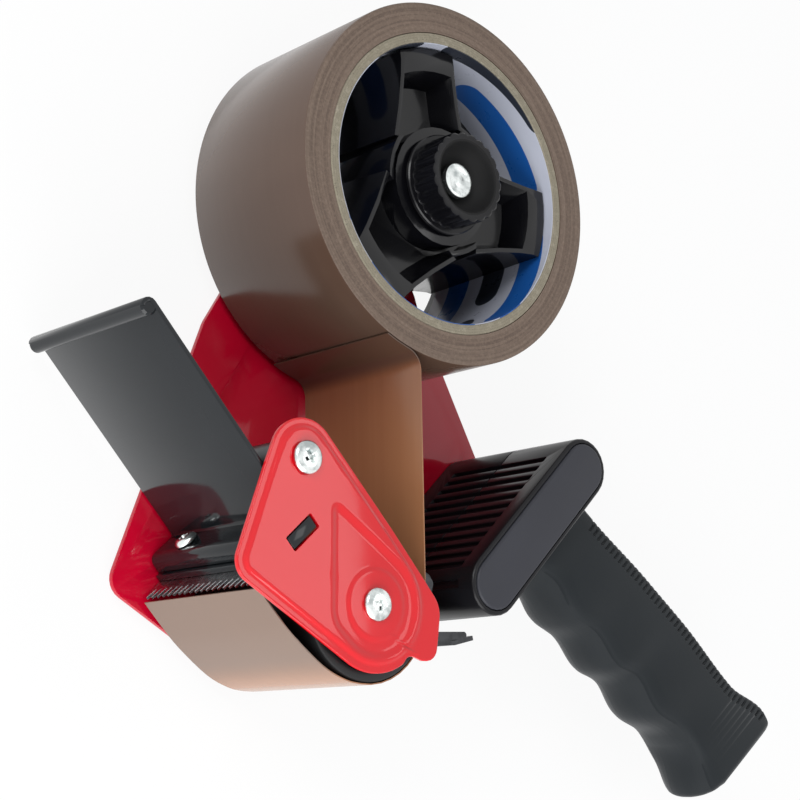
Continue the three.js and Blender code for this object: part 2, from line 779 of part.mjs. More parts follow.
// Toothed blade under the hem, each tooth leaning to one side
function blade() {
  const from = bracketEndGap;
  const count = Math.floor((rimFace - 2 * bracketEndGap) / toothPitch);
  const width = count * toothPitch;
  const outline = [new THREE.Vector2(from, -bladeBack), new THREE.Vector2(from, -bladeRoot)];
  for (let i = 0; i < count; i += 1) {
    const left = from + i * toothPitch;
    outline.push(new THREE.Vector2(left + toothPitch * toothLean, -bladeRoot - toothHeight));
    outline.push(new THREE.Vector2(left + toothPitch, -bladeRoot));
  }
  outline.push(new THREE.Vector2(from + width, -bladeBack));
  if (THREE.ShapeUtils.isClockWise(outline)) outline.reverse();
  const top = bracketTop + bracketGauge + bracketHem + seatGap;
  return prism(outline, 0, bladeGauge).rotateY(-Math.PI / 2).translate(top + bladeGauge, 0, 0);
}

// Handle box
// Two shells that meet at a seam, with finger grooves along the front and screw bosses in the far one.
function boxOutline(inset) {
  return discOutline([
    { x: boxHigh, y: -boxOffset, r: boxRadius },
    { x: boxLow, y: -boxOffset, r: boxRadius },
  ], inset, 2 * cornerFacets);
}

function grooves() {
  const groove = block(
    -grooveWidth / 2, grooveWidth / 2, boxRadius - grooveDepth, boxRadius + overrun, grooveStart, grooveEnd,
  );
  const row = Array.from({ length: grooveCount }, (_, k) => (
    groove.clone().translate(grooveFirst - groovePitch * k, -boxOffset, 0)
  ));
  const last = groove.clone().rotateZ(radians(endGrooveDeg)).translate(boxLow, -boxOffset, 0);
  return [...row, last];
}

function farShell() {
  const shell = prism(boxOutline(0), boxFloor + seatGap, boxSeam - pressGap);
  const hollow = prism(boxOutline(boxWall), boxFloor + boxWall, boxSeam + overrun);
  const posts = [boxHigh, boxLow].map((along) => (
    rod(boxBossRadius, boxFloor + boxWall / 2, boxSeam - pressGap).translate(along, -boxOffset, 0)
  ));
  const pilot = rod(threadRadius + boltGap, boxFloor - overrun, boxFloor + handleScrewReach + overrun);
  const pilots = [boxHigh, boxLow].map((along) => pilot.clone().translate(along, -boxOffset, 0));
  const hollowed = carve(shell, [], [hollow]);
  return carve(hollowed, posts, [...pilots, ...grooves()]);
}

function nearShell() {
  const shell = loft([
    { outline: boxOutline(0), z: boxSeam + pressGap },
    { outline: boxOutline(0), z: boxEnd - capProud },
    { outline: boxOutline(capProud), z: boxEnd },
  ]);
  const hollow = prism(boxOutline(boxWall), boxSeam - overrun, boxEnd + overrun);
  const capSeat = prism(boxOutline(capRim), boxEnd + capProud - capGauge - seatGap, boxEnd + overrun);
  return carve(shell, [], [hollow, capSeat, ...grooves()]);
}

function boxCap() {
  const inset = capRim + pressGap;
  return loft([
    { outline: boxOutline(inset), z: boxEnd + capProud - capGauge },
    { outline: boxOutline(inset), z: boxEnd },
    { outline: boxOutline(inset + capProud), z: boxEnd + capProud },
  ]);
}

// Grip
// Sections run from the box to the butt; their back, panel edge and front are shares of its length and depth.
const backShares = [[0, 0], [0.1, 0], [0.38, -0.045], [0.54, -0.05], [0.8, 0], [0.94, -0.12], [1, -0.08]];
const frontShares = [[0, 1], [0.12, 0.995], [0.27, 1.04], [0.34, 1.003], [0.45, 1.066], [0.54, 0.992],
  [0.66, 1.07], [0.78, 0.96], [0.82, 0.963], [1, 1.22]];
const panelShares = [[0, 0.84], [0.07, 0.82], [0.143, 0.722], [0.252, 0.87], [0.355, 0.775], [0.463, 0.838],
  [0.541, 0.722], [0.662, 0.838], [0.753, 0.782], [0.884, 0.877], [1, 0.95]];

function between(shares, share) {
  const last = shares.length - 1;
  const i = Math.min(Math.max(shares.findIndex(([at]) => at > share) - 1, 0), last - 1);
  const k = share >= 1 ? last - 1 : i;
  const [from, a] = shares[k];
  const [to, b] = shares[k + 1];
  const ease = (1 - Math.cos(Math.PI * (share - from) / (to - from))) / 2;
  return a + (b - a) * ease;
}

// One section: a rounded back strap, flat sides as far as the panel edge, and a nose under the fingers.
function gripSection(back, panel, front, halfWidth) {
  const strap = Array.from({ length: gripArcSteps + 1 }, (_, i) => {
    const { x, y } = polar(1, Math.PI / 2 * i / gripArcSteps);
    const along = back + gripStrapReach * (1 - x ** gripStrapShare);
    return new THREE.Vector2(along, halfWidth * y ** gripStrapShare);
  });
  const foot = panel + gripCrease;
  const nose = Array.from({ length: gripArcSteps + 1 }, (_, i) => {
    const { x, y } = polar(1, Math.PI / 2 * (1 - i / gripArcSteps));
    const along = foot + (front - foot) * x ** gripNoseShare;
    return new THREE.Vector2(along, (halfWidth - gripCrease) * y ** gripNoseShare);
  });
  const half = [...strap, new THREE.Vector2(panel, halfWidth), ...nose];
  const other = half.slice(1, -1).reverse().map((point) => new THREE.Vector2(point.x, -point.y));
  return [...half, ...other].reverse();
}

// Skin of the grip between two shares of its length, drawn in by an inset.
function gripSkinAt(inset, fromShare, toShare, steps) {
  const rings = Array.from({ length: steps + 1 }, (_, r) => {
    const share = fromShare + (toShare - fromShare) * r / steps;
    const [back, panel, front] = [backShares, panelShares, frontShares].map((shares) => (
      between(shares, share) * gripDepth
    ));
    const rise = Math.max(gripButtRound - (1 - share) * gripLength, 0);
    const pinch = gripButtRound - Math.sqrt(gripButtRound ** 2 - rise ** 2);
    const drawn = inset + pinch;
    const outline = gripSection(back + drawn, panel, front - drawn, gripHalfWidth - drawn);
    const slant = gripHeadSlantShare + (gripButtSlantShare - gripHeadSlantShare) * share;
    return { outline, z: outline.map((point) => gripHead + gripLength * share + slant * point.x) };
  });
  return loft(rings).applyMatrix4(gripAxes);
}

// Turns section depth, section width and length into the grip frame's -Y, Z and X.
const gripAxes = new THREE.Matrix4().makeBasis(
  new THREE.Vector3(0, -1, 0), new THREE.Vector3(0, 0, -1), new THREE.Vector3(1, 0, 0),
);

// Retaining lever
// A sheet rolled round its pin, down to a heel that holds the tape to the roller, and out to a finger paddle.
// A cheek at each end ties the eye to the heel and stiffens the paddle.
function lever() {
  const eye = leverPinRadius + runGap + leverGauge / 2;
  const heel = new THREE.Vector2(leverHeelX, leverHeelY);
  const path = [
    ...arcPath(new THREE.Vector2(), eye, ...leverEyeDeg.map(radians), 2 * cornerFacets),
    ...arcPath(heel, leverHeelRadius, ...leverHeelDeg.map(radians), cornerFacets),
    new THREE.Vector2(leverBendX, leverBendY),
    new THREE.Vector2(leverTipX, leverTipY),
  ];
  const heelDisc = { x: leverHeelX, y: leverHeelY, r: leverHeelRadius };
  const arm = discOutline([{ x: 0, y: 0, r: leverCheekRadius }, heelDisc]);
  const wall = discOutline([heelDisc, { x: leverWallX, y: leverWallY, r: leverWallRadius }]);
  const cheeks = [leverStart, leverEnd - leverGauge].flatMap((foot) => (
    [arm, wall].map((outline) => prism(outline, foot, foot + leverGauge))
  ));
  const bore = rod(leverPinRadius + runGap, leverStart - overrun, leverEnd + overrun);
  return carve(prism(sheetOutline(path, leverGauge), leverStart, leverEnd), cheeks, [bore]);
}

// Tape from the roll to the teeth: peeled off, straight down, round the roller and back up in a loose bulge
function stripPath() {
  const skin = stripGauge / 2 + runGap;
  const peel = radians(peelBearingDeg);
  const wrap = radians(peelWrapDeg);
  const onRoll = arcPath(new THREE.Vector2(), rollRadius + skin, peel - wrap, peel, stripSteps / 2);
  const last = onRoll[onRoll.length - 1];
  const aside = new THREE.Vector2(Math.cos(peel), Math.sin(peel)).multiplyScalar(peelBend);
  const bendCentre = last.clone().add(aside);
  const roller = new THREE.Vector2(rollerX, rollerY);
  const wheel = rollerRadius + skin;
  const span = bendCentre.distanceTo(roller);
  const line = roller.clone().sub(bendCentre).angle();
  const normal = line + Math.acos((peelBend - wheel) / span);
  const bend = arcPath(bendCentre, peelBend, peel - Math.PI, normal - 2 * Math.PI, stripSteps);
  const off = -radians(tailLiftDeg);
  const round = arcPath(roller, wheel, normal - 2 * Math.PI, off, stripSteps);
  const bulge = bulgeShares.map(([x, y]) => new THREE.Vector2(rollerX + x * wheel, rollerY + y * wheel));
  const lift = round[round.length - 1];
  const tail = new THREE.SplineCurve([lift, ...bulge]).getPoints(2 * stripSteps);
  return [...onRoll, ...bend.slice(1), ...round, ...tail.slice(1)];
}

// Places on the bulge as shares of the roller's radius, from the roller to the teeth
const bulgeShares = [[-0.35, -0.955], [-0.71, -0.8], [-1.18, -0.45], [-1.45, -0.19], [-1.735, 0.11]];

// Roll, hub and brake
const coreRadius = coreBoreRadius + coreWall;
const windings = ring(coreRadius + pressGap, rollRadius, tapeStart, tapeEnd, tapeEdge, fineFacets);
place('tape_windings', windings, 'brownTape');
place('tape_core', ring(coreBoreRadius, coreRadius, tapeStart, tapeEnd, 0, fineFacets), 'cardboard');
place('hub', hub(), 'blackPlastic');
place('brake_knob', knob(), 'blackPlastic');
const washerTop = hubTop - bossDrop;
const washerFoot = washerTop - thrustGauge;
const washerBore = axleRadius + runGap;
place('thrust_washer', ring(washerBore, thrustRadius, washerFoot, washerTop, 0, smallFacets), 'steel');
place('brake_spring', coil(
  brakeCoilRadius, brakeWireRadius, springBoreFloor + brakeWireRadius + seatGap,
  washerFoot - brakeWireRadius - seatGap, brakeTurns,
), 'springSteel');
const frictionFoot = axleCollar + seatGap * 2;
const friction = ring(washerBore, frictionRadius, frictionFoot, frictionFoot + frictionGauge, 0, smallFacets);
place('friction_washer', friction, 'fibre');
place('hub_axle', turned([
  [0, headPlane], [axleHeadRadius - tapeEdge, headPlane], [axleHeadRadius, headPlane + tapeEdge],
  [axleHeadRadius, -frameGauge - seatGap], [axleRadius, -frameGauge - seatGap], [axleRadius, seatGap],
  [axleCollarRadius, seatGap], [axleCollarRadius, axleCollar], [axleRadius, axleCollar],
  [axleRadius, axleTip], [0, axleTip],
], smallFacets * 2), 'zinc');
place('axle_end', turned([
  [0, axleTip + seatGap], [axleEndRadius, axleTip + seatGap], [axleEndRadius, axleTip + axleEndHeight / 2],
  [axleEndRadius - tapeEdge, axleTip + axleEndHeight], [0, axleTip + axleEndHeight],
]), 'zinc');

// Plates, spacer and their screws
place('frame_plate', framePlate(), 'deepRed');
place('front_side_plate', frontPlate(), 'brightRed');
const tube = ring(threadRadius + boltGap, spacerRadius, seatGap, innerWidth - seatGap, 0, smallFacets);
place('spacer_tube', tube, 'darkSteel', dispenser, spacerX, spacerY);
const farHead = -headPlane - frameGauge - seatGap;
const nearHead = screw(headHeight, threadReach);
const nearSeat = frontGauge + seatGap;
const rollerSeat = rimFace + nearSeat + seatRise;
place('spacer_screw_near', nearHead, 'zinc', dispenser, spacerX, spacerY, innerWidth + nearSeat);
place('roller_screw_near', nearHead, 'zinc', dispenser, rollerX, rollerY, rollerSeat);
for (const [name, x, y] of [['spacer_screw_far', spacerX, spacerY], ['roller_screw_far', rollerX, rollerY]]) {
  const far = screw(farHead, threadReach);
  place(name, far, 'zinc', dispenser, x, y, -frameGauge - seatGap).rotation.x = Math.PI;
}

// Roller
const rollerBore = rollerShaftRadius + runGap;
const bushRadius = rollerBore + bushWall;
const coreOuter = rollerRadius - sleeveWall - pressGap;
const coreInner = coreOuter - rollerWall;
const spoolHub = bushRadius + pressGap + rollerHubWall;
const coreBore = bushRadius + pressGap;
const hubFace = bushFlange + seatGap;
const shaft = ring(threadRadius + boltGap, rollerShaftRadius, seatGap, rimFace - seatGap, 0, smallFacets);
place('roller_shaft', shaft, 'zinc', dispenser, rollerX, rollerY);
place('roller_core', turned([
  [coreBore, rollerStart + hubFace], [spoolHub, rollerStart + hubFace],
  [spoolHub, rollerStart + rollerRecess], [coreInner, rollerStart + rollerRecess],
  [coreInner, rollerStart], [coreOuter, rollerStart], [coreOuter, rollerEnd], [coreInner, rollerEnd],
  [coreInner, rollerEnd - rollerRecess], [spoolHub, rollerEnd - rollerRecess],
  [spoolHub, rollerEnd - hubFace], [coreBore, rollerEnd - hubFace], [coreBore, rollerStart + hubFace],
]), 'blackPlastic', dispenser, rollerX, rollerY);
const [sleeveStart, sleeveEnd] = [rollerStart + runGap, rollerEnd - runGap];
const sleeve = ring(rollerRadius - sleeveWall, rollerRadius, sleeveStart, sleeveEnd, tapeEdge);
place('roller_sleeve', sleeve, 'rollerRubber', dispenser, rollerX, rollerY);
const bush = turned([
  [rollerBore, 0], [bushRadius + bushFlangeWidth, 0], [bushRadius + bushFlangeWidth, bushFlange],
  [bushRadius, bushFlange], [bushRadius, bushLength], [rollerBore, bushLength], [rollerBore, 0],
], smallFacets);
place('roller_bush_far', bush, 'fibre', dispenser, rollerX, rollerY, rollerStart);
place('roller_bush_near', bush, 'fibre', dispenser, rollerX, rollerY, rollerEnd).rotation.x = Math.PI;

// Blade head
place('wiper_plate', wiper(), 'blackSheet', headFrame);
place('cross_bracket', crossBracket(), 'blackSheet', headFrame);
place('blade', blade(), 'steel', headFrame);
wiperScrewPlaces().forEach((z, i) => {
  const name = `wiper_screw_${i ? 'near' : 'far'}`;
  const fixing = screw(headHeight, bracketTop + bracketGauge, wiperHeadRadius);
  place(name, fixing, 'zinc', headFrame, -seatGap, -wiperScrewReach, z).rotation.y = -Math.PI / 2;
});

// Handle
place('handle_box_far', farShell(), 'boxPlastic', boxFrame);
place('handle_box_near', nearShell(), 'boxPlastic', boxFrame);
place('handle_box_cap', boxCap(), 'boxPlastic', boxFrame);
[boxHigh, boxLow].forEach((along, i) => {
  const name = `handle_screw_${i ? 'low' : 'high'}`;
  const fixing = screw(lowHeadHeight, handleScrewReach);
  place(name, fixing, 'zinc', boxFrame, along, -boxOffset, sheetFoot - seatGap).rotation.x = Math.PI;
});
const socket = gripSkinAt(gripSkin, -gripCoreShare / gripCoreRings, gripCoreShare, gripCoreRings + 1);
place('grip_sleeve', carve(gripSkinAt(0, 0, 1, gripRings), [], [socket]), 'softRubber', gripFrame);
const gripHeart = gripSkinAt(gripSkin + gripCoreGap, 0, gripCoreShare, gripCoreRings);
place('grip_core', gripHeart, 'boxPlastic', gripFrame);

// Retaining lever
const pinHead = leverPinRadius + leverPinHead;
place('lever_pin', turned([
  [0, headPlane], [pinHead, headPlane], [pinHead, sheetFoot - seatGap],
  [leverPinRadius, sheetFoot - seatGap], [leverPinRadius, leverPinTip], [0, leverPinTip],
], smallFacets), 'darkSteel', dispenser, leverX, leverY);
place('retaining_lever', lever(), 'steel', dispenser, leverX, leverY);
place('lever_spring', coil(
  leverPinRadius + leverWireRadius + runGap, leverWireRadius, leverWireRadius + runGap,
  leverStart - leverWireRadius - runGap, leverTurns,
), 'springSteel', dispenser, leverX, leverY);

// Tape
place('tape_strip', prism(sheetOutline(stripPath(), stripGauge), tapeStart, tapeEnd), 'brownTape');

// The origin is the middle of the base.
const bounds = new THREE.Box3().setFromObject(dispenser, true);
const middle = bounds.getCenter(new THREE.Vector3());
dispenser.position.set(-middle.x, -middle.y, -bounds.min.z);

const part = new THREE.Group();
part.add(dispenser);
export default part;
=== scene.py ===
"""Looks of a handheld packing-tape dispenser with a pistol grip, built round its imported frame, in metres.

Places are worked out from the roll's axis where it meets the far side plate, in millimetres, as the frame's
own sizes are, and are set into the frame by the Datum class.
"""

from __future__ import annotations

import logging
import math
from dataclasses import dataclass
from enum import Enum
from typing import Callable, Optional, Sequence, Union

import bmesh
import bpy
import numpy as np
from mathutils import Matrix, Vector


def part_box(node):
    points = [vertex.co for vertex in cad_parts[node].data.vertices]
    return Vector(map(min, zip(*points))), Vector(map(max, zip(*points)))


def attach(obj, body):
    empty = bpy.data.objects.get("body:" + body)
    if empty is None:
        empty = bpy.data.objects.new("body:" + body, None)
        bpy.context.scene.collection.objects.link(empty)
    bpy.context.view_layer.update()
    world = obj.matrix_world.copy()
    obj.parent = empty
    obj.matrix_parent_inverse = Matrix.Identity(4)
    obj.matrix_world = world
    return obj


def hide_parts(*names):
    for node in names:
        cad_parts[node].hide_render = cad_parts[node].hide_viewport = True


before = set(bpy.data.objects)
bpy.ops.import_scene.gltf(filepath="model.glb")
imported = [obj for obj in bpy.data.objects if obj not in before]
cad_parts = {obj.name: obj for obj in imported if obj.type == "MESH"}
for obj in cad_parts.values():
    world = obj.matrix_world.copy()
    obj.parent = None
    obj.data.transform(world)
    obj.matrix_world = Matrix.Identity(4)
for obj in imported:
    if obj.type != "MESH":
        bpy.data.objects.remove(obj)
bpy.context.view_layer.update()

LOG = logging.getLogger("dispenser")

# Sizes are in millimetres, METRE of which make one of the frame's units.
METRE = 1000
# The roll's height over the far plate, two upright axes by the near plate, and its slot in the head's frame.
ROLL_START = 2.0
SPACER = (-50.8, -80.2)
ROLLER = (-28.6, -113.7)
SLOT = (4.0, -2.0)

Piece = bpy.types.Object
Pair = tuple[float, float]
Triple = tuple[float, float, float]
Colour = Triple
Profile = Sequence[Pair]
Grid = np.ndarray
Paint = Union["Signal", Colour]
Operand = Union["Signal", float]


def tint(red: int, green: int, blue: int) -> Colour:
    """Turns a screen colour of 0 to 255 into the linear colour that a shader reads.

    Args:
        red: Screen red.
        green: Screen green.
        blue: Screen blue.

    Returns:
        The linear colour.
    """
    shares = [level / 255 for level in (red, green, blue)]
    return tuple(s / 12.92 if s <= 0.04045 else ((s + 0.055) / 1.055) ** 2.4 for s in shares)


def dimmed(colour: Colour, share: float) -> Colour:
    """A darker form of a colour."""
    return tuple(level * share for level in colour)


class Datum:
    """The roll's axis at the far plate's inner face, from which every place is measured."""

    def __init__(self) -> None:
        """Reads the axis from the tape roll's box."""
        low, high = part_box("tape_windings")
        self.origin = Vector(((low.x + high.x) / 2, (low.y + high.y) / 2, low.z - ROLL_START / METRE))

    def at(self, x: float, y: float, z: float) -> Vector:
        """Turns millimetres from the datum into the frame's metres.

        Args:
            x: Distance toward the grip's side.
            y: Distance toward the roll.
            z: Height over the far plate's inner face.

        Returns:
            The place in the frame.
        """
        return self.origin + Vector((x, y, z)) / METRE


DATUM = Datum()


@dataclass(frozen=True)
class Turned:
    """A frame of the datum's own, turned about the upright axis, in which a sub-assembly is laid out."""

    x: float
    y: float
    degrees: float

    @property
    def turn(self) -> float:
        """The frame's turn in radians."""
        return math.radians(self.degrees)

    def at(self, along: float, across: float, z: float) -> Vector:
        """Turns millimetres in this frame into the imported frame's metres."""
        cos, sin = math.cos(self.turn), math.sin(self.turn)
        return DATUM.at(self.x + along * cos - across * sin, self.y + along * sin + across * cos, z)


HEAD = Turned(-52.8, -93.8, -47.5)


class Bench:
    """Blender's operators as a maker uses them, on one mesh at a time."""

    seed = 0.001
    merge = 2e-6
    flat = math.radians(0.4)

    @staticmethod
    def clear() -> None:
        """Leaves edit mode and deselects everything."""
        if bpy.context.object and bpy.context.object.mode != "OBJECT":
            bpy.ops.object.mode_set(mode="OBJECT")
        bpy.ops.object.select_all(action="DESELECT")

    @classmethod
    def take(cls, piece: Piece) -> None:
        """Makes a piece the only selected and active one."""
        cls.clear()
        piece.select_set(True)
        bpy.context.view_layer.objects.active = piece

    @staticmethod
    def open(kind: str = "VERT") -> None:
        """Enters edit mode on the active piece, all of it selected.

        Args:
            kind: What is worked on, VERT or EDGE.
        """
        bpy.ops.object.mode_set(mode="EDIT")
        bpy.ops.mesh.select_mode(type=kind)
        bpy.ops.mesh.select_all(action="SELECT")

    @staticmethod
    def fix() -> None:
        """Puts the active piece's place, turn and scale into its mesh."""
        bpy.ops.object.transform_apply(location=True, rotation=True, scale=True)

    @staticmethod
    def pick(piece: Piece, test: Callable[[Vector], bool]) -> None:
        """Selects the vertices of an open piece whose place passes a test.

        Args:
            piece: The piece that is open in edit mode.
            test: Tells whether a place is wanted.
        """
        bpy.ops.mesh.select_all(action="DESELECT")
        mesh = bmesh.from_edit_mesh(piece.data)
        for vertex in mesh.verts:
            vertex.select_set(test(vertex.co))
        mesh.select_flush_mode()
        bmesh.update_edit_mesh(piece.data)

    @classmethod
    def lathe(cls, name: str, profile: Profile, axis: Vector, steps: int) -> Piece:
        """Draws a profile as a line of edges and spins it round an upright axis.

        Args:
            name: The new piece's name.
            profile: Radius and height of each corner, in millimetres; closed unless it ends on the axis.
            axis: A point on the axis at height 0.
            steps: Facets round the piece.

        Returns:
            The closed piece.
        """
        route = [axis + Vector((radius, 0, height)) / METRE for radius, height in profile]
        if profile[0][0] or profile[-1][0]:
            route.append(route[0])
        cls.clear()
        bpy.ops.mesh.primitive_plane_add(size=cls.seed, location=route[0])
        piece = bpy.context.object
        piece.name = name
        cls.fix()
        cls.open()
        bpy.ops.mesh.merge(type="CENTER")
        for here, there in zip(route, route[1:]):
            bpy.ops.mesh.extrude_region_move(TRANSFORM_OT_translate={"value": there - here})
        bpy.ops.mesh.select_all(action="SELECT")
        bpy.ops.mesh.remove_doubles(threshold=cls.merge / 2)
        bpy.ops.mesh.select_all(action="SELECT")
        bpy.ops.mesh.spin(steps=steps, angle=2 * math.pi, center=axis, axis=(0, 0, 1))
        bpy.ops.mesh.select_all(action="SELECT")
        bpy.ops.mesh.remove_doubles(threshold=cls.merge)
        bpy.ops.mesh.normals_make_consistent(inside=False)
        bpy.ops.object.mode_set(mode="OBJECT")
        return piece

    @classmethod
    def drum(cls, name: str, half: Profile, span: Pair, axis: Vector,
             steps: int) -> Piece:
        """Spins a piece whose two ends are alike.

        Args:
            name: The new piece's name.
            half: Radius of each corner, and how far it lies in from its end, from the inside out.
            span: Heights of the two ends.
            axis: A point on the axis at height 0.
            steps: Facets round the piece.

        Returns:
            The closed piece.
        """
        profile = [(radius, span[0] + inset) for radius, inset in half]
        profile += [(radius, span[1] - inset) for radius, inset in reversed(half)]
        return cls.lathe(name, profile, axis, steps)

    @classmethod
    def block(cls, name: str, size: Triple, place: Vector, turn: float) -> Piece:
        """Adds a box.

        Args:
            name: The new piece's name.
            size: Its sides in millimetres.
            place: Its middle.
            turn: Its turn about the upright axis, in radians.

        Returns:
            The box.
        """
        cls.clear()
        bpy.ops.mesh.primitive_cube_add(size=1, rotation=(0, 0, turn), location=place)
        piece = bpy.context.object
        piece.name = name
        piece.scale = [side / METRE for side in size]
        cls.fix()
        return piece

    @classmethod
    def copy_of(cls, name: str, node: str) -> Piece:
        """Starts a piece from a merged copy of a frame node, its flat faces joined.

        Args:
            name: The new piece's name.
            node: The frame node to copy.

        Returns:
            The copy, in object mode.
        """
        piece = bpy.data.objects.new(name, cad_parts[node].data.copy())
        bpy.context.scene.collection.objects.link(piece)
        piece.data.materials.clear()
        cls.take(piece)
        cls.open()
        bpy.ops.mesh.customdata_custom_splitnormals_clear()
        bpy.ops.mesh.remove_doubles(threshold=cls.merge)
        bpy.ops.mesh.dissolve_limited(angle_limit=cls.flat)
        bpy.ops.object.mode_set(mode="OBJECT")
        return piece

    @classmethod
    def apply(cls, piece: Piece, kind: str, **settings: object) -> None:
        """Adds a modifier with its settings and applies it.

        Args:
            piece: The piece to change.
            kind: The modifier's type.
            settings: The modifier's own settings.
        """
        cls.take(piece)
        modifier = piece.modifiers.new(kind.title(), kind)
        for key, value in settings.items():
            setattr(modifier, key, value)
        bpy.ops.object.modifier_apply(modifier=modifier.name)

    @classmethod
    def cut(cls, piece: Piece, cutter: Piece, **settings: object) -> None:
        """Takes a cutter's shape out of a piece and deletes the cutter.

        Args:
            piece: The piece to cut.
            cutter: The shape to take out.
            settings: More settings of the Boolean modifier.
        """
        cls.apply(piece, "BOOLEAN", operation="DIFFERENCE", object=cutter, **settings)
        bpy.data.objects.remove(cutter)

    @classmethod
    def round_edges(cls, piece: Piece, width: float, segments: int = 2, sharp: float = 35) -> None:
        """Bevels a piece's sharp edges.

        Args:
            piece: The piece to change.
            width: Bevel width in millimetres.
            segments: Facets across the bevel.
            sharp: Least angle of an edge that is rounded, in degrees.
        """
        cls.apply(
            piece, "BEVEL", width=width / METRE, segments=segments, limit_method="ANGLE",
            angle_limit=math.radians(sharp), use_clamp_overlap=True, miter_outer="MITER_ARC",
        )

    @classmethod
    def settle(cls, piece: Piece, smooth: float) -> None:
        """Puts a finished piece's place into its mesh and shades it smooth.

        Args:
            piece: The finished piece.
            smooth: Largest angle that shades smooth, in degrees.
        """
        cls.take(piece)
        cls.fix()
        bpy.ops.object.shade_smooth_by_angle(angle=math.radians(smooth))


class Signal:
    """A node's output that reads as a number in Python arithmetic."""

    def __init__(self, wiring: Wiring, node: bpy.types.Node, output: Union[str, int] = 0) -> None:
        """Wraps one output of a node."""
        self.wiring = wiring
        self.node = node
        self.output = output

    def out(self, output: Union[str, int]) -> Signal:
        """Another output of the same node."""
        return Signal(self.wiring, self.node, output)

    def math(self, operation: str, *others: Operand) -> Signal:
        """Adds one Math node on this signal and others, in order."""
        return self.wiring.node("ShaderNodeMath", {"operation": operation}, dict(enumerate((self, *others))))

    def __add__(self, other: Operand) -> Signal:
        """Adds."""
        return self.math("ADD", other)

    def __mul__(self, other: Operand) -> Signal:
        """Multiplies."""
        return self.math("MULTIPLY", other)

    __radd__ = __add__
    __rmul__ = __mul__

    def __sub__(self, other: Operand) -> Signal:
        """Subtracts."""
        return self.math("SUBTRACT", other)

    def __rsub__(self, other: float) -> Signal:
        """Subtracts this signal from a number."""
        return self * -1 + other

    def __truediv__(self, other: Operand) -> Signal:
        """Divides."""
        return self.math("DIVIDE", other)

    def __abs__(self) -> Signal:
        """Drops the sign."""
        return self.math("ABSOLUTE")

    def most(self, other: Operand) -> Signal:
        """The larger of two."""
        return self.math("MAXIMUM", other)

    def root(self) -> Signal:
        """Square root."""
        return self.math("SQRT")

    def step(self, start: float, end: float) -> Signal:
        """Rises smoothly from 0 to 1, or falls where end is less than start.

        Args:
            start: Where the result is 0.
            end: Where the result is 1.

        Returns:
            The step.
        """
        low, high, first, last = (start, end, 0.0, 1.0) if start < end else (end, start, 1.0, 0.0)
        return self.wiring.node(
            "ShaderNodeMapRange", {"interpolation_type": "SMOOTHSTEP"},
            {"Value": self, "From Min": low, "From Max": high, "To Min": first, "To Max": last},
        )


@dataclass
class Spot:
    """The three parts of a vector; of a place, they are in millimetres from the datum."""

    x: Signal
    y: Signal
    z: Signal

    def radius(self) -> Signal:
        """Distance from the roll's axis."""
        return (self.x * self.x + self.y * self.y).root()


class Wiring:
    """The node tree of a material or of the world while it is being wired."""

    def __init__(self, owner: Union[bpy.types.Material, bpy.types.World]) -> None:
        """Empties the owner's tree."""
        owner.use_nodes = True
        self.tree = owner.node_tree
        self.tree.nodes.clear()

    def node(self, kind: str, settings: dict[str, object], inputs: dict[Union[str, int], object]) -> Signal:
        """Adds a node: its settings first, then the values or links of its sockets.

        Args:
            kind: The node's type.
            settings: Its own settings.
            inputs: Values or links by socket name or place; a colour is a value of three parts.

        Returns:
            Its first output as a signal.
        """
        made = self.tree.nodes.new(kind)
        for key, value in settings.items():
            setattr(made, key, value)
        for key, value in inputs.items():
            socket = made.inputs[key]
            if isinstance(value, Signal):
                self.tree.links.new(value.node.outputs[value.output], socket)
            else:
                socket.default_value = (*value, 1.0) if socket.type == "RGBA" else value
        return Signal(self, made)


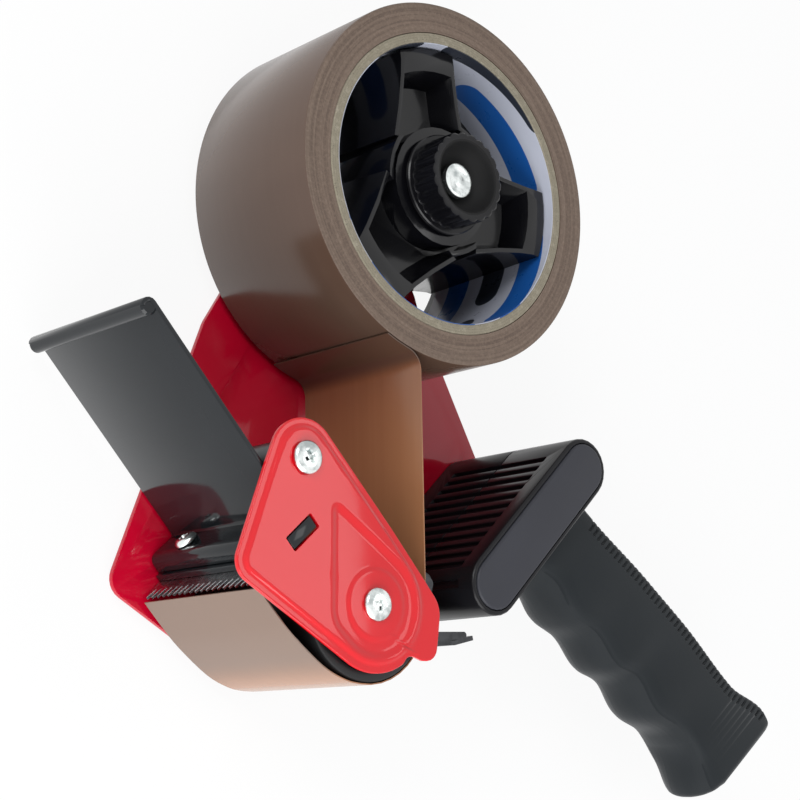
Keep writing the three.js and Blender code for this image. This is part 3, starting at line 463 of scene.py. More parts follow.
class Shader(Wiring):
    """The node tree of one finish."""

    def __init__(self, name: str) -> None:
        """Starts a material of that name."""
        self.material = bpy.data.materials.new(name)
        super().__init__(self.material)
        self.coordinates = self.node("ShaderNodeTexCoord", {}, {}).out("Object")

    def parts(self, vector: Signal) -> Spot:
        """Splits a vector into its three parts."""
        made = self.node("ShaderNodeSeparateXYZ", {}, {0: vector})
        return Spot(made.out(0), made.out(1), made.out(2))

    def spot(self) -> Spot:
        """Object coordinates in millimetres from the datum."""
        inputs = {"Vector": self.coordinates, "Location": -METRE * DATUM.origin, "Scale": (METRE,) * 3}
        return self.parts(self.node("ShaderNodeMapping", {}, inputs))

    def facing(self) -> Spot:
        """Parts of the true surface normal, in the frame's directions."""
        return self.parts(self.node("ShaderNodeNewGeometry", {}, {}).out("True Normal"))

    def stretched(self, scale: Sequence[float], turn: float = 0) -> Signal:
        """Object coordinates stretched, and turned about the upright axis."""
        inputs = {"Vector": self.coordinates, "Rotation": (0, 0, turn), "Scale": scale}
        return self.node("ShaderNodeMapping", {}, inputs)

    def vector(self, x: Operand, y: Operand, z: Operand) -> Signal:
        """Joins three signals into a vector."""
        return self.node("ShaderNodeCombineXYZ", {}, {0: x, 1: y, 2: z})

    def noise(self, scale: float, detail: float, where: Optional[Signal] = None,
              roughness: float = 0.5) -> Signal:
        """Soft noise around 0.5.

        Args:
            scale: Cycles per unit of the coordinates.
            detail: Octaves.
            where: A vector to read instead of object coordinates, which are in metres.
            roughness: Share of the finer octaves.

        Returns:
            The noise.
        """
        return self.node("ShaderNodeTexNoise", {}, {
            "Vector": where or self.coordinates, "Scale": scale, "Detail": detail, "Roughness": roughness,
        })

    def mix(self, share: Operand, first: Paint, second: Paint) -> Signal:
        """Blends two colours by a share."""
        return self.node("ShaderNodeMix", {"data_type": "RGBA"}, {0: share, 6: first, 7: second}).out(2)

    def bump(self, height: Signal, depth: float, strength: float) -> Signal:
        """Raises the normal by a height signal of 0 to 1 times a depth in millimetres."""
        inputs = {"Height": height, "Distance": depth / METRE, "Strength": strength}
        return self.node("ShaderNodeBump", {}, inputs)

    def finish(self, **sockets: object) -> bpy.types.Material:
        """Closes the tree with its surface.

        Args:
            sockets: Values or links of the surface's sockets, by their names with _ for a space.

        Returns:
            The finished material.
        """
        inputs = {key.replace("_", " "): value for key, value in sockets.items()}
        surface = self.node("ShaderNodeBsdfPrincipled", {}, inputs)
        self.node("ShaderNodeOutputMaterial", {}, {0: surface})
        return self.material


@dataclass(frozen=True)
class Enamel:
    """Gloss stove enamel on pressed steel, with a soft orange peel and a few handling marks."""

    name: str
    colour: Colour
    deep: Colour
    gloss: float = 0.04
    shine: float = 0.5

    def material(self) -> bpy.types.Material:
        """Wires the finish."""
        shader = Shader(self.name)
        drift = shader.noise(22, 3)
        wave = shader.noise(70, 1)
        scuffs = shader.noise(60, 4, shader.stretched((14, 1, 1), 0.6)).step(0.68, 0.8)
        return shader.finish(
            Base_Color=shader.mix(drift.step(0.3, 0.7), self.deep, self.colour),
            Roughness=drift * 0.03 + scuffs * 0.1 + self.gloss,
            Normal=shader.bump(wave, 0.12, 0.3),
            Specular_IOR_Level=self.shine,
        )


@dataclass(frozen=True)
class Moulding:
    """Injection-moulded plastic: faint flow marks, a grain whose depth tells gloss from matte, and painted
    shade round the roll's axis.
    """

    name: str
    colour: Colour
    pale: Colour
    gloss: float = 0.25
    grain: float = 0.01
    grain_scale: float = 2600
    shine: float = 0.4
    # Radius round the roll's axis inside which the colour is darkened as painted shade; 0 for none.
    shade_radius: float = 0
    blur: float = 0.3

    def material(self) -> bpy.types.Material:
        """Wires the finish."""
        shader = Shader(self.name)
        flow = shader.noise(35, 4)
        grain = shader.noise(self.grain_scale, 2)
        dust = shader.noise(420, 5).step(0.64, 0.82)
        # Painted shade: 1 inside the shade radius, where the colour is darkened and the gloss made matte.
        inner = shader.spot().radius().step(self.shade_radius + self.blur, self.shade_radius - self.blur)
        plain = shader.mix(flow.step(0.35, 0.75) * 0.5 + dust * 0.08, self.colour, self.pale)
        return shader.finish(
            Base_Color=shader.mix(inner, plain, dimmed(self.colour, 0.3)),
            Roughness=flow * 0.08 + dust * 0.06 + self.gloss + inner * 0.55,
            Normal=shader.bump(grain, self.grain, 0.6),
            Specular_IOR_Level=self.shine,
        )


@dataclass(frozen=True)
class SoftRubber:
    """Soft dark rubber with a fine pebble and a dry, slightly dusty bloom."""

    name: str
    colour: Colour
    bloom: Colour
    pebble: float = 0.03
    rough: float = 0.55
    shine: float = 0.15
    sheen: float = 0.12

    def material(self) -> bpy.types.Material:
        """Wires the finish."""
        shader = Shader(self.name)
        pebbles = shader.node("ShaderNodeTexVoronoi", {}, {"Vector": shader.coordinates, "Scale": 2200})
        cloud = shader.noise(45, 5)
        fine = shader.noise(5200, 2)
        return shader.finish(
            Base_Color=shader.mix(cloud.step(0.3, 0.75) * 0.6 + fine * 0.2, self.colour, self.bloom),
            Roughness=cloud * 0.14 + self.rough,
            Normal=shader.bump(pebbles * 0.7 + fine * 0.3, self.pebble, 0.5),
            Specular_IOR_Level=self.shine,
            Sheen_Weight=self.sheen,
            Sheen_Roughness=0.4,
        )


@dataclass(frozen=True)
class Plate:
    """Metal: plated, ground or drawn, with blotches and fine lines that vary its gloss; the blotches are
    also painted reflections, light and dark.
    """

    name: str
    colour: Colour
    # The dark end of the painted reflections; colour is their bright end.
    dark_reflection: Colour
    gloss: float = 0.22
    lines: Triple = (1.0, 1.0, 1.0)
    depth: float = 0.01
    mottle: float = 420

    def material(self) -> bpy.types.Material:
        """Wires the finish."""
        shader = Shader(self.name)
        # Blotches that vary the gloss and, in the colour, paint patches of light and dark reflection.
        blotch_and_reflection = shader.noise(self.mottle, 3)
        lines = shader.noise(2400, 3, shader.stretched(self.lines))
        return shader.finish(
            Base_Color=shader.mix(blotch_and_reflection.step(0.3, 0.6), self.dark_reflection, self.colour),
            Metallic=1.0,
            Roughness=blotch_and_reflection * 0.12 + lines * 0.08 + self.gloss,
            Normal=shader.bump(lines * 0.3 + blotch_and_reflection * 0.7, self.depth, 0.5),
        )


@dataclass(frozen=True)
class WoundTape:
    """A tight roll of glossy tape: film on the outside, the edges of its layers on both faces."""

    name: str
    film: Colour
    film_deep: Colour
    edge: Colour
    edge_pale: Colour

    def material(self) -> bpy.types.Material:
        """Wires the finish."""
        shader = Shader(self.name)
        spot, facing = shader.spot(), shader.facing()
        radius = spot.radius()
        face = abs(facing.z).step(0.6, 0.9)
        layers = shader.noise(5.5, 5, shader.vector(radius * 6, spot.x * 0.02, spot.y * 0.02), 0.75)
        bands = shader.noise(0.9, 3, shader.vector(radius * 1.6, spot.x * 0.012, spot.y * 0.012))
        flecks = shader.noise(1300, 4, roughness=0.7)
        sweep = shader.noise(0.03, 2, shader.vector(spot.x, spot.y, spot.z * 0.15))
        drawn = shader.noise(0.35, 2, shader.vector(spot.x * 0.03, spot.y * 0.03, spot.z))
        film = shader.mix(sweep.step(0.3, 0.7) * 0.6 + drawn * 0.2, self.film_deep, self.film)
        streaks = bands.step(0.35, 0.7) * 0.35 + layers.step(0.3, 0.75) * 0.45
        streaks = streaks + flecks.step(0.4, 0.7) * 0.3
        return shader.finish(
            Base_Color=shader.mix(face, film, shader.mix(streaks, self.edge, self.edge_pale)),
            Roughness=face * 0.4 + drawn * 0.05 + 0.2,
            Normal=shader.bump(layers * face + drawn * (1 - face) * 0.05, 0.12, 0.5),
            Specular_IOR_Level=0.5,
        )


@dataclass(frozen=True)
class TapeFilm:
    """One thickness of brown film: clear brown under tension, the loose end paler and greyer as painted
    light, and painted shade towards the roll.
    """

    name: str
    colour: Colour
    # Darker film, mixed in by the noise and also as the painted shade towards the roll.
    deep: Colour
    # Painted light: the loose end's paler, greyer colour.
    pale: Colour
    roll: Colour
    # Where the painted light on the loose end rises, across and down.
    tail_x: Pair = (-34, -46)
    tail_y: Pair = (-96, -112)
    roll_edge: Pair = (53.5, 50.2)
    # Heights over which the painted shade rises towards the roll.
    roll_shade: Pair = (-80, -50)

    def material(self) -> bpy.types.Material:
        """Wires the finish."""
        shader = Shader(self.name)
        spot = shader.spot()
        lines = shader.noise(0.5, 3, shader.vector(spot.x * 0.01, spot.y * 0.01, spot.z), 0.6)
        waves = shader.noise(0.045, 2, shader.vector(spot.x, spot.y * 0.35, spot.z))
        # Painted light: the loose end is made paler and greyer.
        lit_tail = spot.x.step(*self.tail_x) * spot.y.step(*self.tail_y)
        on_roll = spot.radius().step(*self.roll_edge)
        # Painted shade: the film darkens towards the roll.
        roll_shade = spot.y.step(*self.roll_shade)
        body = shader.mix(lines * 0.25 + waves * 0.2 + 0.62 - roll_shade * 0.55, self.deep, self.colour)
        body = shader.mix(on_roll, body, self.roll)
        return shader.finish(
            Base_Color=shader.mix(lit_tail * 0.85, body, self.pale),
            Roughness=lines * 0.05 + 0.16,
            Normal=shader.bump(waves * 0.9 + lines * 0.1, 0.4, 0.25),
            Specular_IOR_Level=0.5,
        )


@dataclass(frozen=True)
class Cardboard:
    """Grey-beige board wound in a tube, flecked with fibres and with its plies showing on the ends."""

    name: str
    colour: Colour
    dark: Colour
    pale: Colour

    def material(self) -> bpy.types.Material:
        """Wires the finish."""
        shader = Shader(self.name)
        radius = shader.spot().radius()
        flecks = shader.noise(3600, 4, roughness=0.75)
        clouds = shader.noise(700, 4)
        plies = (radius * 9).math("SINE") * 0.5 + 0.5
        specks = shader.noise(3600, 2).step(0.58, 0.68)
        base = shader.mix(flecks.step(0.3, 0.7) * 0.6 + clouds * 0.4, self.dark, self.colour)
        base = shader.mix(plies * 0.15 + clouds.step(0.5, 0.8) * 0.4, base, self.pale)
        return shader.finish(
            Base_Color=shader.mix(specks * 0.7, base, dimmed(self.dark, 0.4)),
            Roughness=flecks * 0.1 + 0.85,
            Normal=shader.bump(flecks * 0.6 + clouds * 0.4, 0.1, 0.7),
            Specular_IOR_Level=0.15,
        )


@dataclass(frozen=True)
class CoreLiner:
    """Pale coated paper inside the core, with slanted rows of round-ended bars, blue and grey by turns.

    A row climbs a whole number of row pairs in one turn of the bore, so the print closes on itself.
    """

    name: str
    paper: Colour
    blue: Colour
    grey: Colour
    radius: float = 38.1
    row_pitch: float = 14.5
    row_start: float = 1.64
    rows_climbed: int = 2
    bars_round: int = 5
    bar_length: float = 40.0
    bar_width: float = 8.6
    bar_start: float = 23.2
    bar_stagger: float = 16.3
    blur: float = 0.08

    def material(self) -> bpy.types.Material:
        """Wires the finish."""
        shader = Shader(self.name)
        spot = shader.spot()
        girth = 2 * math.pi * self.radius
        around = spot.y.math("ARCTAN2", spot.x) * self.radius
        climb = around * (self.rows_climbed * self.row_pitch / girth)
        row = (spot.z + climb) / self.row_pitch + self.row_start
        index = row.math("FLOOR")
        odd = index.math("PINGPONG", 1)
        across = abs(row - index - 0.5) * self.row_pitch
        half_pitch = girth / self.bars_round / 2
        along = (around + self.bar_start - odd * self.bar_stagger).math("PINGPONG", half_pitch)
        beyond = (along - (self.bar_length - self.bar_width) / 2).most(0)
        edge = self.bar_width / 2
        bar = (across * across + beyond * beyond).root().step(edge + self.blur, edge - self.blur)
        mottle = shader.noise(300, 4)
        paper = shader.mix(mottle * 0.3, self.paper, dimmed(self.paper, 0.8))
        return shader.finish(
            Base_Color=shader.mix(bar, paper, shader.mix(odd, self.blue, self.grey)),
            Roughness=mottle * 0.04 + 0.26,
            Normal=shader.bump(mottle, 0.004, 0.3),
            Specular_IOR_Level=0.35,
        )


class Finish(Enum):
    """Every finish on the dispenser."""

    BRIGHT_RED = Enamel("bright_red_enamel", tint(214, 14, 28), tint(209, 10, 24))
    # The far plate's red, painted darker than the near plate's as painted shade from the roll.
    DEEP_RED = Enamel("shaded_red_enamel", tint(196, 8, 44), tint(184, 6, 38), 0.07, 0.4)
    TAPE_ROLL = WoundTape(
        "wound_tape", tint(100, 80, 68), tint(82, 62, 51), tint(76, 60, 50), tint(130, 112, 98),
    )
    # The film's pale colour is painted light on the loose end; its deep colour is also the painted shade by
    # the roll.
    TAPE_FILM = TapeFilm(
        "tape_film", tint(166, 116, 80), tint(124, 77, 52), tint(118, 102, 92), tint(86, 66, 54),
    )
    CORE = Cardboard("core_board", tint(156, 149, 132), tint(118, 110, 94), tint(178, 171, 154))
    LINER = CoreLiner("core_liner", tint(196, 200, 214), tint(30, 92, 170), tint(44, 48, 58))
    HUB = Moulding("hub_gloss", tint(10, 10, 13), tint(18, 18, 22), 0.1, 0.003, 900, 0.42)
    # The knob's last number is the radius of the painted shade in its bowl round the axle's end.
    KNOB = Moulding("knob_gloss", tint(12, 12, 15), tint(20, 20, 24), 0.14, 0.003, 900, 0.3, 10.4)
    BOX = Moulding("box_moulding", tint(19, 19, 22), tint(26, 26, 30), 0.27, 0.006, 2600, 0.22)
    CAP = Moulding("cap_moulding", tint(50, 51, 57), tint(56, 57, 64), 0.42, 0.015, 2600, 0.25)
    SHEET = Moulding("black_sheet_coat", tint(27, 30, 33), tint(34, 37, 40), 0.06, 0.0008, 220, 0.33)
    GRIP = SoftRubber("grip_rubber", tint(27, 31, 34), tint(34, 38, 41), sheen=0.3)
    ROLLER = SoftRubber("roller_rubber", tint(20, 21, 22), tint(30, 31, 33), 0.02, 0.35, 0.4, 0.0)
    # Zinc's bright and dark colours are painted reflections, laid out as blotches.
    ZINC = Plate("zinc_plate", (0.86, 0.9, 0.89), (0.42, 0.46, 0.46), 0.14, mottle=300, depth=0.02)
    STEEL = Plate("plain_steel", (0.5, 0.51, 0.51), (0.4, 0.41, 0.42), 0.28)
    SPRING = Plate("spring_wire", (0.5, 0.5, 0.51), (0.34, 0.34, 0.35), 0.3)
    BLADE = Plate("ground_blade", (0.52, 0.53, 0.54), (0.4, 0.4, 0.42), 0.16, (1, 1, 12), 0.002)
    DARK_STEEL = Plate("dark_steel", (0.07, 0.072, 0.076), (0.052, 0.054, 0.057), 0.24)
    FIBRE = Cardboard("pressed_fibre", tint(109, 90, 72), tint(84, 68, 54), tint(132, 112, 92))


class Palette:
    """Keeps one material for each finish."""

    made: dict[Finish, bpy.types.Material] = {}

    @classmethod
    def coat(cls, piece: Piece, finish: Finish) -> None:
        """Gives a piece a finish as its only material.

        Args:
            piece: The piece to coat.
            finish: Its finish.
        """
        if finish not in cls.made:
            cls.made[finish] = finish.value.material()
        piece.data.materials.clear()
        piece.data.materials.append(cls.made[finish])


class Assembly:
    """What every sub-assembly does: it models its pieces, sets them on a body and reports them."""

    body = "base"

    def add(self, piece: Piece, finish: Finish, slot: str, nodes: Sequence[str] = (),
            body: str = "", smooth: float = 32) -> Piece:
        """Settles a piece, coats it and sets it on its body in place of frame nodes.

        Args:
            piece: The modelled piece.
            finish: Its finish.
            slot: The record's material slot, which is not used.
            nodes: Frame nodes it stands for.
            body: The body it rides on, if not the assembly's own.
            smooth: Largest angle that shades smooth, in degrees.

        Returns:
            The piece.
        """
        Bench.settle(piece, smooth)
        Palette.coat(piece, finish)
        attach(piece, body or self.body)
        if nodes:
            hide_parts(*nodes)
        LOG.info("%s: %d faces", piece.name, len(piece.data.polygons))
        return piece

    def refine(self, node: str, finish: Finish, slot: str, width: float, segments: int = 2,
               body: str = "", sharp: float = 35) -> Piece:
        """Replaces a frame node by a copy with rounded edges.

        Args:
            node: The frame node.
            finish: Its finish.
            slot: The record's material slot.
            width: Edge rounding in millimetres.
            segments: Facets across a rounded edge.
            body: The body it rides on, if not the assembly's own.
            sharp: Least angle of an edge that is rounded, in degrees.

        Returns:
            The new piece.
        """
        piece = Bench.copy_of(f"{node}_made", node)
        if width:
            Bench.round_edges(piece, width, segments, sharp)
        return self.add(piece, finish, slot, [node], body)

    @staticmethod
    def dress(finish: Finish, *nodes: str) -> None:
        """Coats frame nodes whose shape stays as it is."""
        for node in nodes:
            Palette.coat(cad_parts[node], finish)


@dataclass
class TapeRoll(Assembly):
    """The wound tape on its cardboard core."""

    body = "roll"
    width: float = 48.0
    bore: float = 38.1
    liner: float = 0.25
    core: float = 41.0
    gap: float = 0.12
    outer: float = 49.3
    steps: int = 192
    waves: Profile = ((0.12, 0.05), (0.3, 0.16), (0.45, 0.08), (0.62, 0.18), (0.8, 0.06))
    shoulder: Profile = ((-0.35, 0.05), (-0.1, 0.15), (0, 0.35))

    def build(self) -> None:
        """Models the windings, the core and its liner."""
        inner, tube = self.core + self.gap, self.bore + self.liner
        faces = [(inner + (self.outer - inner) * share, inset) for share, inset in self.waves]
        corner = [(self.outer + across, inset) for across, inset in self.shoulder]
        wound = [(inner, 0.1), *faces, *corner]
        self.ring("windings", wound, Finish.TAPE_ROLL, "tape_roll", ["tape_windings"])
        board = [(tube, 0.2), (tube + 0.2, 0), (self.core - 0.25, 0), (self.core, 0.25)]
        self.ring("core_tube", board, Finish.CORE, "cardboard", ["tape_core"])
        self.ring("core_liner", [(self.bore, 0.3), (tube - 0.02, 0.3)], Finish.LINER, "cardboard", [])

    def ring(self, name: str, half: Profile, finish: Finish, slot: str, nodes: Sequence[str]) -> None:
        """Models one of the roll's tubes, whose two faces are alike."""
        span = (ROLL_START, ROLL_START + self.width)
        self.add(Bench.drum(name, half, span, DATUM.at(0, 0, 0), self.steps), finish, slot, nodes)


@dataclass
class BrakeHub(Assembly):
    """The three-armed hub, its brake knob and the axle's end."""

    lobes: int = 22
    facets: int = 8
    radius: float = 12.2
    skirt: float = 13.6
    base: float = 46.95
    top: float = 56.4
    scallop: float = 0.55
    flute: tuple = ((4, 1.0), (3, 0.62), (5, 0.62), (2, 0.26), (6, 0.26), (1, 0.06), (7, 0.06))
    skirt_steps: Profile = ((-0.3, 0), (0, 0.3), (0, 1.1), (-0.3, 1.4))
    drum_steps: Profile = ((0.15, 1.45), (0, 1.7))
    crown_steps: Profile = ((0, -0.55), (-0.12, -0.2), (-0.45, 0))
    bowl: float = 9.6
    bowl_floor: float = 50.2
    bowl_steps: Profile = (
        (0.5, 0), (0.15, -0.1), (0, -0.4), (-0.2, -1.4), (-0.7, -2.6), (-1.6, -3.9), (-2.8, -5),
    )
    floor_steps: Profile = ((-4.2, 0.5), (-5.4, 0))
    cap: Profile = (
        (0, 51.5), (4.75, 51.5), (4.75, 52.5), (4.6, 52.8), (4.3, 52.95), (3.4, 53.0), (3.1, 52.86),
        (1.6, 52.84), (1.3, 52.96), (0, 52.98),
    )
    travel: float = 0.7

    def build(self) -> None:
        """Models the hub, the knob, the axle's end and the spring."""
        self.refine("hub", Finish.HUB, "hub_plastic", 0.5, 3, "roll")
        self.knob()
        end = Bench.lathe("axle_cap", self.cap, DATUM.at(0, 0, 0), 64)
        self.add(end, Finish.ZINC, "zinc_steel", ["axle_end"])
        self.dress(Finish.ZINC, "hub_axle")
        self.dress(Finish.STEEL, "thrust_washer")
        self.spring()
        self.dress(Finish.FIBRE, "friction_washer")

    def spring(self) -> None:
        """Copies the spring, shorter at its foot by a little more than the knob's travel."""
        piece = Bench.copy_of("spring", "brake_spring")
        heights = [vertex.co.z for vertex in piece.data.vertices]
        shrink = 1 - self.travel / METRE / (max(heights) - min(heights))
        Bench.open()
        bpy.ops.transform.resize(value=(1, 1, shrink), center_override=(0, 0, max(heights)))
        bpy.ops.object.mode_set(mode="OBJECT")
        self.add(piece, Finish.SPRING, "spring_steel", ["brake_spring"], "brake")

    def knob(self) -> None:
        """Models the knob: a drum with a bowl sunk round the axle's end, drawn in along each flute."""
        axis, spokes = DATUM.at(0, 0, 0), self.lobes * self.facets
        sections = (
            (self.skirt, self.base, self.skirt_steps), (self.radius, self.base, self.drum_steps),
            (self.radius, self.top, self.crown_steps), (self.bowl, self.top, self.bowl_steps),
            (self.bowl, self.bowl_floor, self.floor_steps),
        )
        corners = [(wide + out, high + up) for wide, high, steps in sections for out, up in steps]
        piece = Bench.lathe("knob", [(0, self.base), *corners, (0, self.bowl_floor)], axis, spokes)
        wall, facet = (self.radius - 0.6) / METRE, 2 * math.pi / spokes
        foot = DATUM.at(0, 0, self.base + 1.42).z
        Bench.open()
        for phase, share in self.flute:
            Bench.pick(piece, lambda place, at=phase: (
                (place.xy - axis.xy).length > wall and place.z > foot
                and round(math.atan2(place.y - axis.y, place.x - axis.x) / facet) % self.facets == at
            ))
            squeeze = 1 - self.scallop * share / self.radius
            bpy.ops.transform.resize(value=(squeeze, squeeze, 1), center_override=axis)
        bpy.ops.object.mode_set(mode="OBJECT")
        self.add(piece, Finish.KNOB, "knob_plastic", ["brake_knob"], "knob", 30)


@dataclass(frozen=True)
class Hull:
    """The outline stretched round a set of discs, each of x, y and radius in millimetres."""

    discs: tuple[Triple, ...]
    directions: int = 240

    def depth(self, x: Grid, y: Grid) -> Grid:
        """How far points lie inside the outline.

        Args:
            x: First coordinates, in millimetres.
            y: Second coordinates.

        Returns:
            The depths, below zero outside.
        """
        turn = np.arange(self.directions) * (2 * math.pi / self.directions)
        way = np.stack((np.cos(turn), np.sin(turn)))
        reach = np.maximum.reduce([cx * way[0] + cy * way[1] + r for cx, cy, r in self.discs])
        return (reach[:, None] - way[0][:, None] * x - way[1][:, None] * y).min(axis=0)


def eased(values: Grid, start: float, end: float) -> Grid:
    """Rises smoothly from 0 at start to 1 at end."""
    share = np.clip((values - start) / (end - start), 0, 1)
    return share * share * (3 - 2 * share)


@dataclass
class SidePlates(Assembly):
    """Both pressed side plates and the spacer between them.

    The near plate's field, teardrop dish and screw seat run into each other in soft slopes, which no single
    operator gives, so a disc of rings is spun and each of its points is set on the pressed face.
    """

    rim_top: float = 53.2
    gauge: float = 1.2
    rim: tuple = (0, 0.04, 0.11, 0.2, 0.32, 0.6, 1.0, 1.4, 1.7, 2.0, 2.3, 2.6, 2.9, 3.2)
    rim_width: float = 1.6
    rim_slope: float = 1.3
    rise: float = 0.6
    dish_slope: float = 2.4
    seat_radius: float = 8.0
    seat_slope: float = 1.4
    seat_rise: float = 0.35
    edge: float = 0.32
    heart: Pair = (-46.0, -106.0)
    spokes: int = 300
    rings: int = 60
    calm_spokes: int = 9
    spacer: Triple = (*SPACER, 9.8)
    corner: Triple = (-64.4, -105.6, 5.6)
    roller: Triple = (*ROLLER, 16.5)
    cheek: Triple = (-14.9, -115.2, 7.2)
    tooth: Triple = (-12.1, -123.1, 3.5)
    tooth_width: float = 5.0
    notch: Triple = (-17.0, -128.1, 2.5)
    dish: tuple[Triple, ...] = ((-40.6, -92.4, 1.2), (-34.6, -115.2, 7.2), (*ROLLER, 12.3))
    slot: Triple = (4.2, 9.8, 10.0)
    tube: Profile = ((2.3, 0), (5.0, 0), (5.4, 0.35))
    tube_span: Pair = (0.15, 52.65)

    def build(self) -> None:
        """Rounds the far plate's edges and models the near plate and the spacer."""
        # The far plate is coated in the red that is painted darker as painted shade.
        self.refine("frame_plate", Finish.DEEP_RED, "deep_red_paint", 0.35, 3)
        self.near_plate()
        tube = Bench.drum("spacer", self.tube, self.tube_span, DATUM.at(*SPACER, 0), 48)
        self.add(tube, Finish.DARK_STEEL, "dark_steel", ["spacer_tube"])

    def field(self, x: Grid, y: Grid) -> Grid:
        """How far points lie inside the three-cornered main field."""
        return Hull((self.spacer, self.corner, self.roller)).depth(x, y)

    def inside(self, x: Grid, y: Grid) -> Grid:
        """How far points lie inside the near plate's outline.

        Args:
            x: First coordinates, in millimetres.
            y: Second coordinates.

        Returns:
            The depths, below zero outside.
        """
        far_tooth = (self.tooth[0] - self.tooth_width, *self.tooth[1:])
        cheek = Hull((self.roller, self.cheek)).depth(x, y)
        tooth = Hull((self.tooth, self.cheek, far_tooth)).depth(x, y)
        notch = np.hypot(x - self.notch[0], y - self.notch[1]) - self.notch[2]
        return np.minimum(np.maximum.reduce([self.field(x, y), cheek, tooth]), notch)

    def relief(self, x: Grid, y: Grid) -> Grid:
        """Height of the pressed face over its rim.

        Args:
            x: First coordinates, in millimetres.
            y: Second coordinates.

        Returns:
            The heights.
        """
        field = eased(self.field(x, y), self.rim_width, self.rim_width + self.rim_slope)
        dish = eased(Hull(self.dish).depth(x, y), -self.dish_slope / 2, self.dish_slope / 2)
        far = np.hypot(x - self.roller[0], y - self.roller[1])
        seat = eased(-far, -self.seat_radius - self.seat_slope, -self.seat_radius)
        return self.rise * field * (1 - dish) + self.seat_rise * seat

    def reach(self) -> Grid:
        """Distance from the heart to the outline along each spoke, by halving."""
        turn = np.arange(self.spokes) * (2 * math.pi / self.spokes)
        low, high = np.zeros(self.spokes), np.full(self.spokes, 60.0)
        for _ in range(24):
            middle = (low + high) / 2
            x, y = self.heart[0] + middle * np.cos(turn), self.heart[1] + middle * np.sin(turn)
            within = self.inside(x, y) > 0
            low, high = np.where(within, middle, low), np.where(within, high, middle)
        return low

    def near_plate(self) -> None:
        """Models the near plate from a spun disc, whose ring numbers tell how far out each point goes."""
        last = self.rings + len(self.rim)
        profile = [(ring, 0) for ring in range(last)] + [(ring, 2) for ring in reversed(range(last))]
        piece = Bench.lathe("near_plate", profile, Vector((0, 0, 0)), self.spokes)
        places = np.array([vertex.co for vertex in piece.data.vertices]) * METRE
        turn = np.arctan2(places[:, 1], places[:, 0])
        ring = np.rint(np.hypot(places[:, 0], places[:, 1]))
        spoke = np.rint(turn / (2 * math.pi / self.spokes)).astype(int) % self.spokes
        table = self.reach()
        near = range(-self.calm_spokes, self.calm_spokes + 1)
        calm = np.minimum.reduce([np.roll(table, step) for step in near])
        calm = np.mean([np.roll(calm, step) for step in near], axis=0)[spoke]
        bound = table[spoke]
        share = np.clip(ring / self.rings, 0, 1)
        within = share * (calm + (bound - calm) * share ** 3 - self.rim[-1])
        from_rim = np.interp(ring, range(self.rings, last), self.rim[::-1])
        out = np.where(ring >= self.rings, bound - from_rim, within)
        x, y = self.heart[0] + out * np.cos(turn), self.heart[1] + out * np.sin(turn)
        short = np.clip(self.edge - self.inside(x, y), 0, self.edge)
        fall = self.edge - np.sqrt(self.edge ** 2 - short ** 2)
        face = self.rim_top + self.relief(x, y)
        z = np.where(places[:, 2] > 1, face - fall, face - self.gauge + fall)
        for vertex, place in zip(piece.data.vertices, zip(x, y, z)):
            vertex.co = DATUM.at(*place)
        cutter = Bench.block("slot", self.slot, HEAD.at(*SLOT, self.rim_top), HEAD.turn)
        Bench.round_edges(cutter, 0.4, 3)
        Bench.cut(piece, cutter, solver="MANIFOLD")
        self.add(piece, Finish.BRIGHT_RED, "bright_red_paint", ["front_side_plate"], smooth=50)


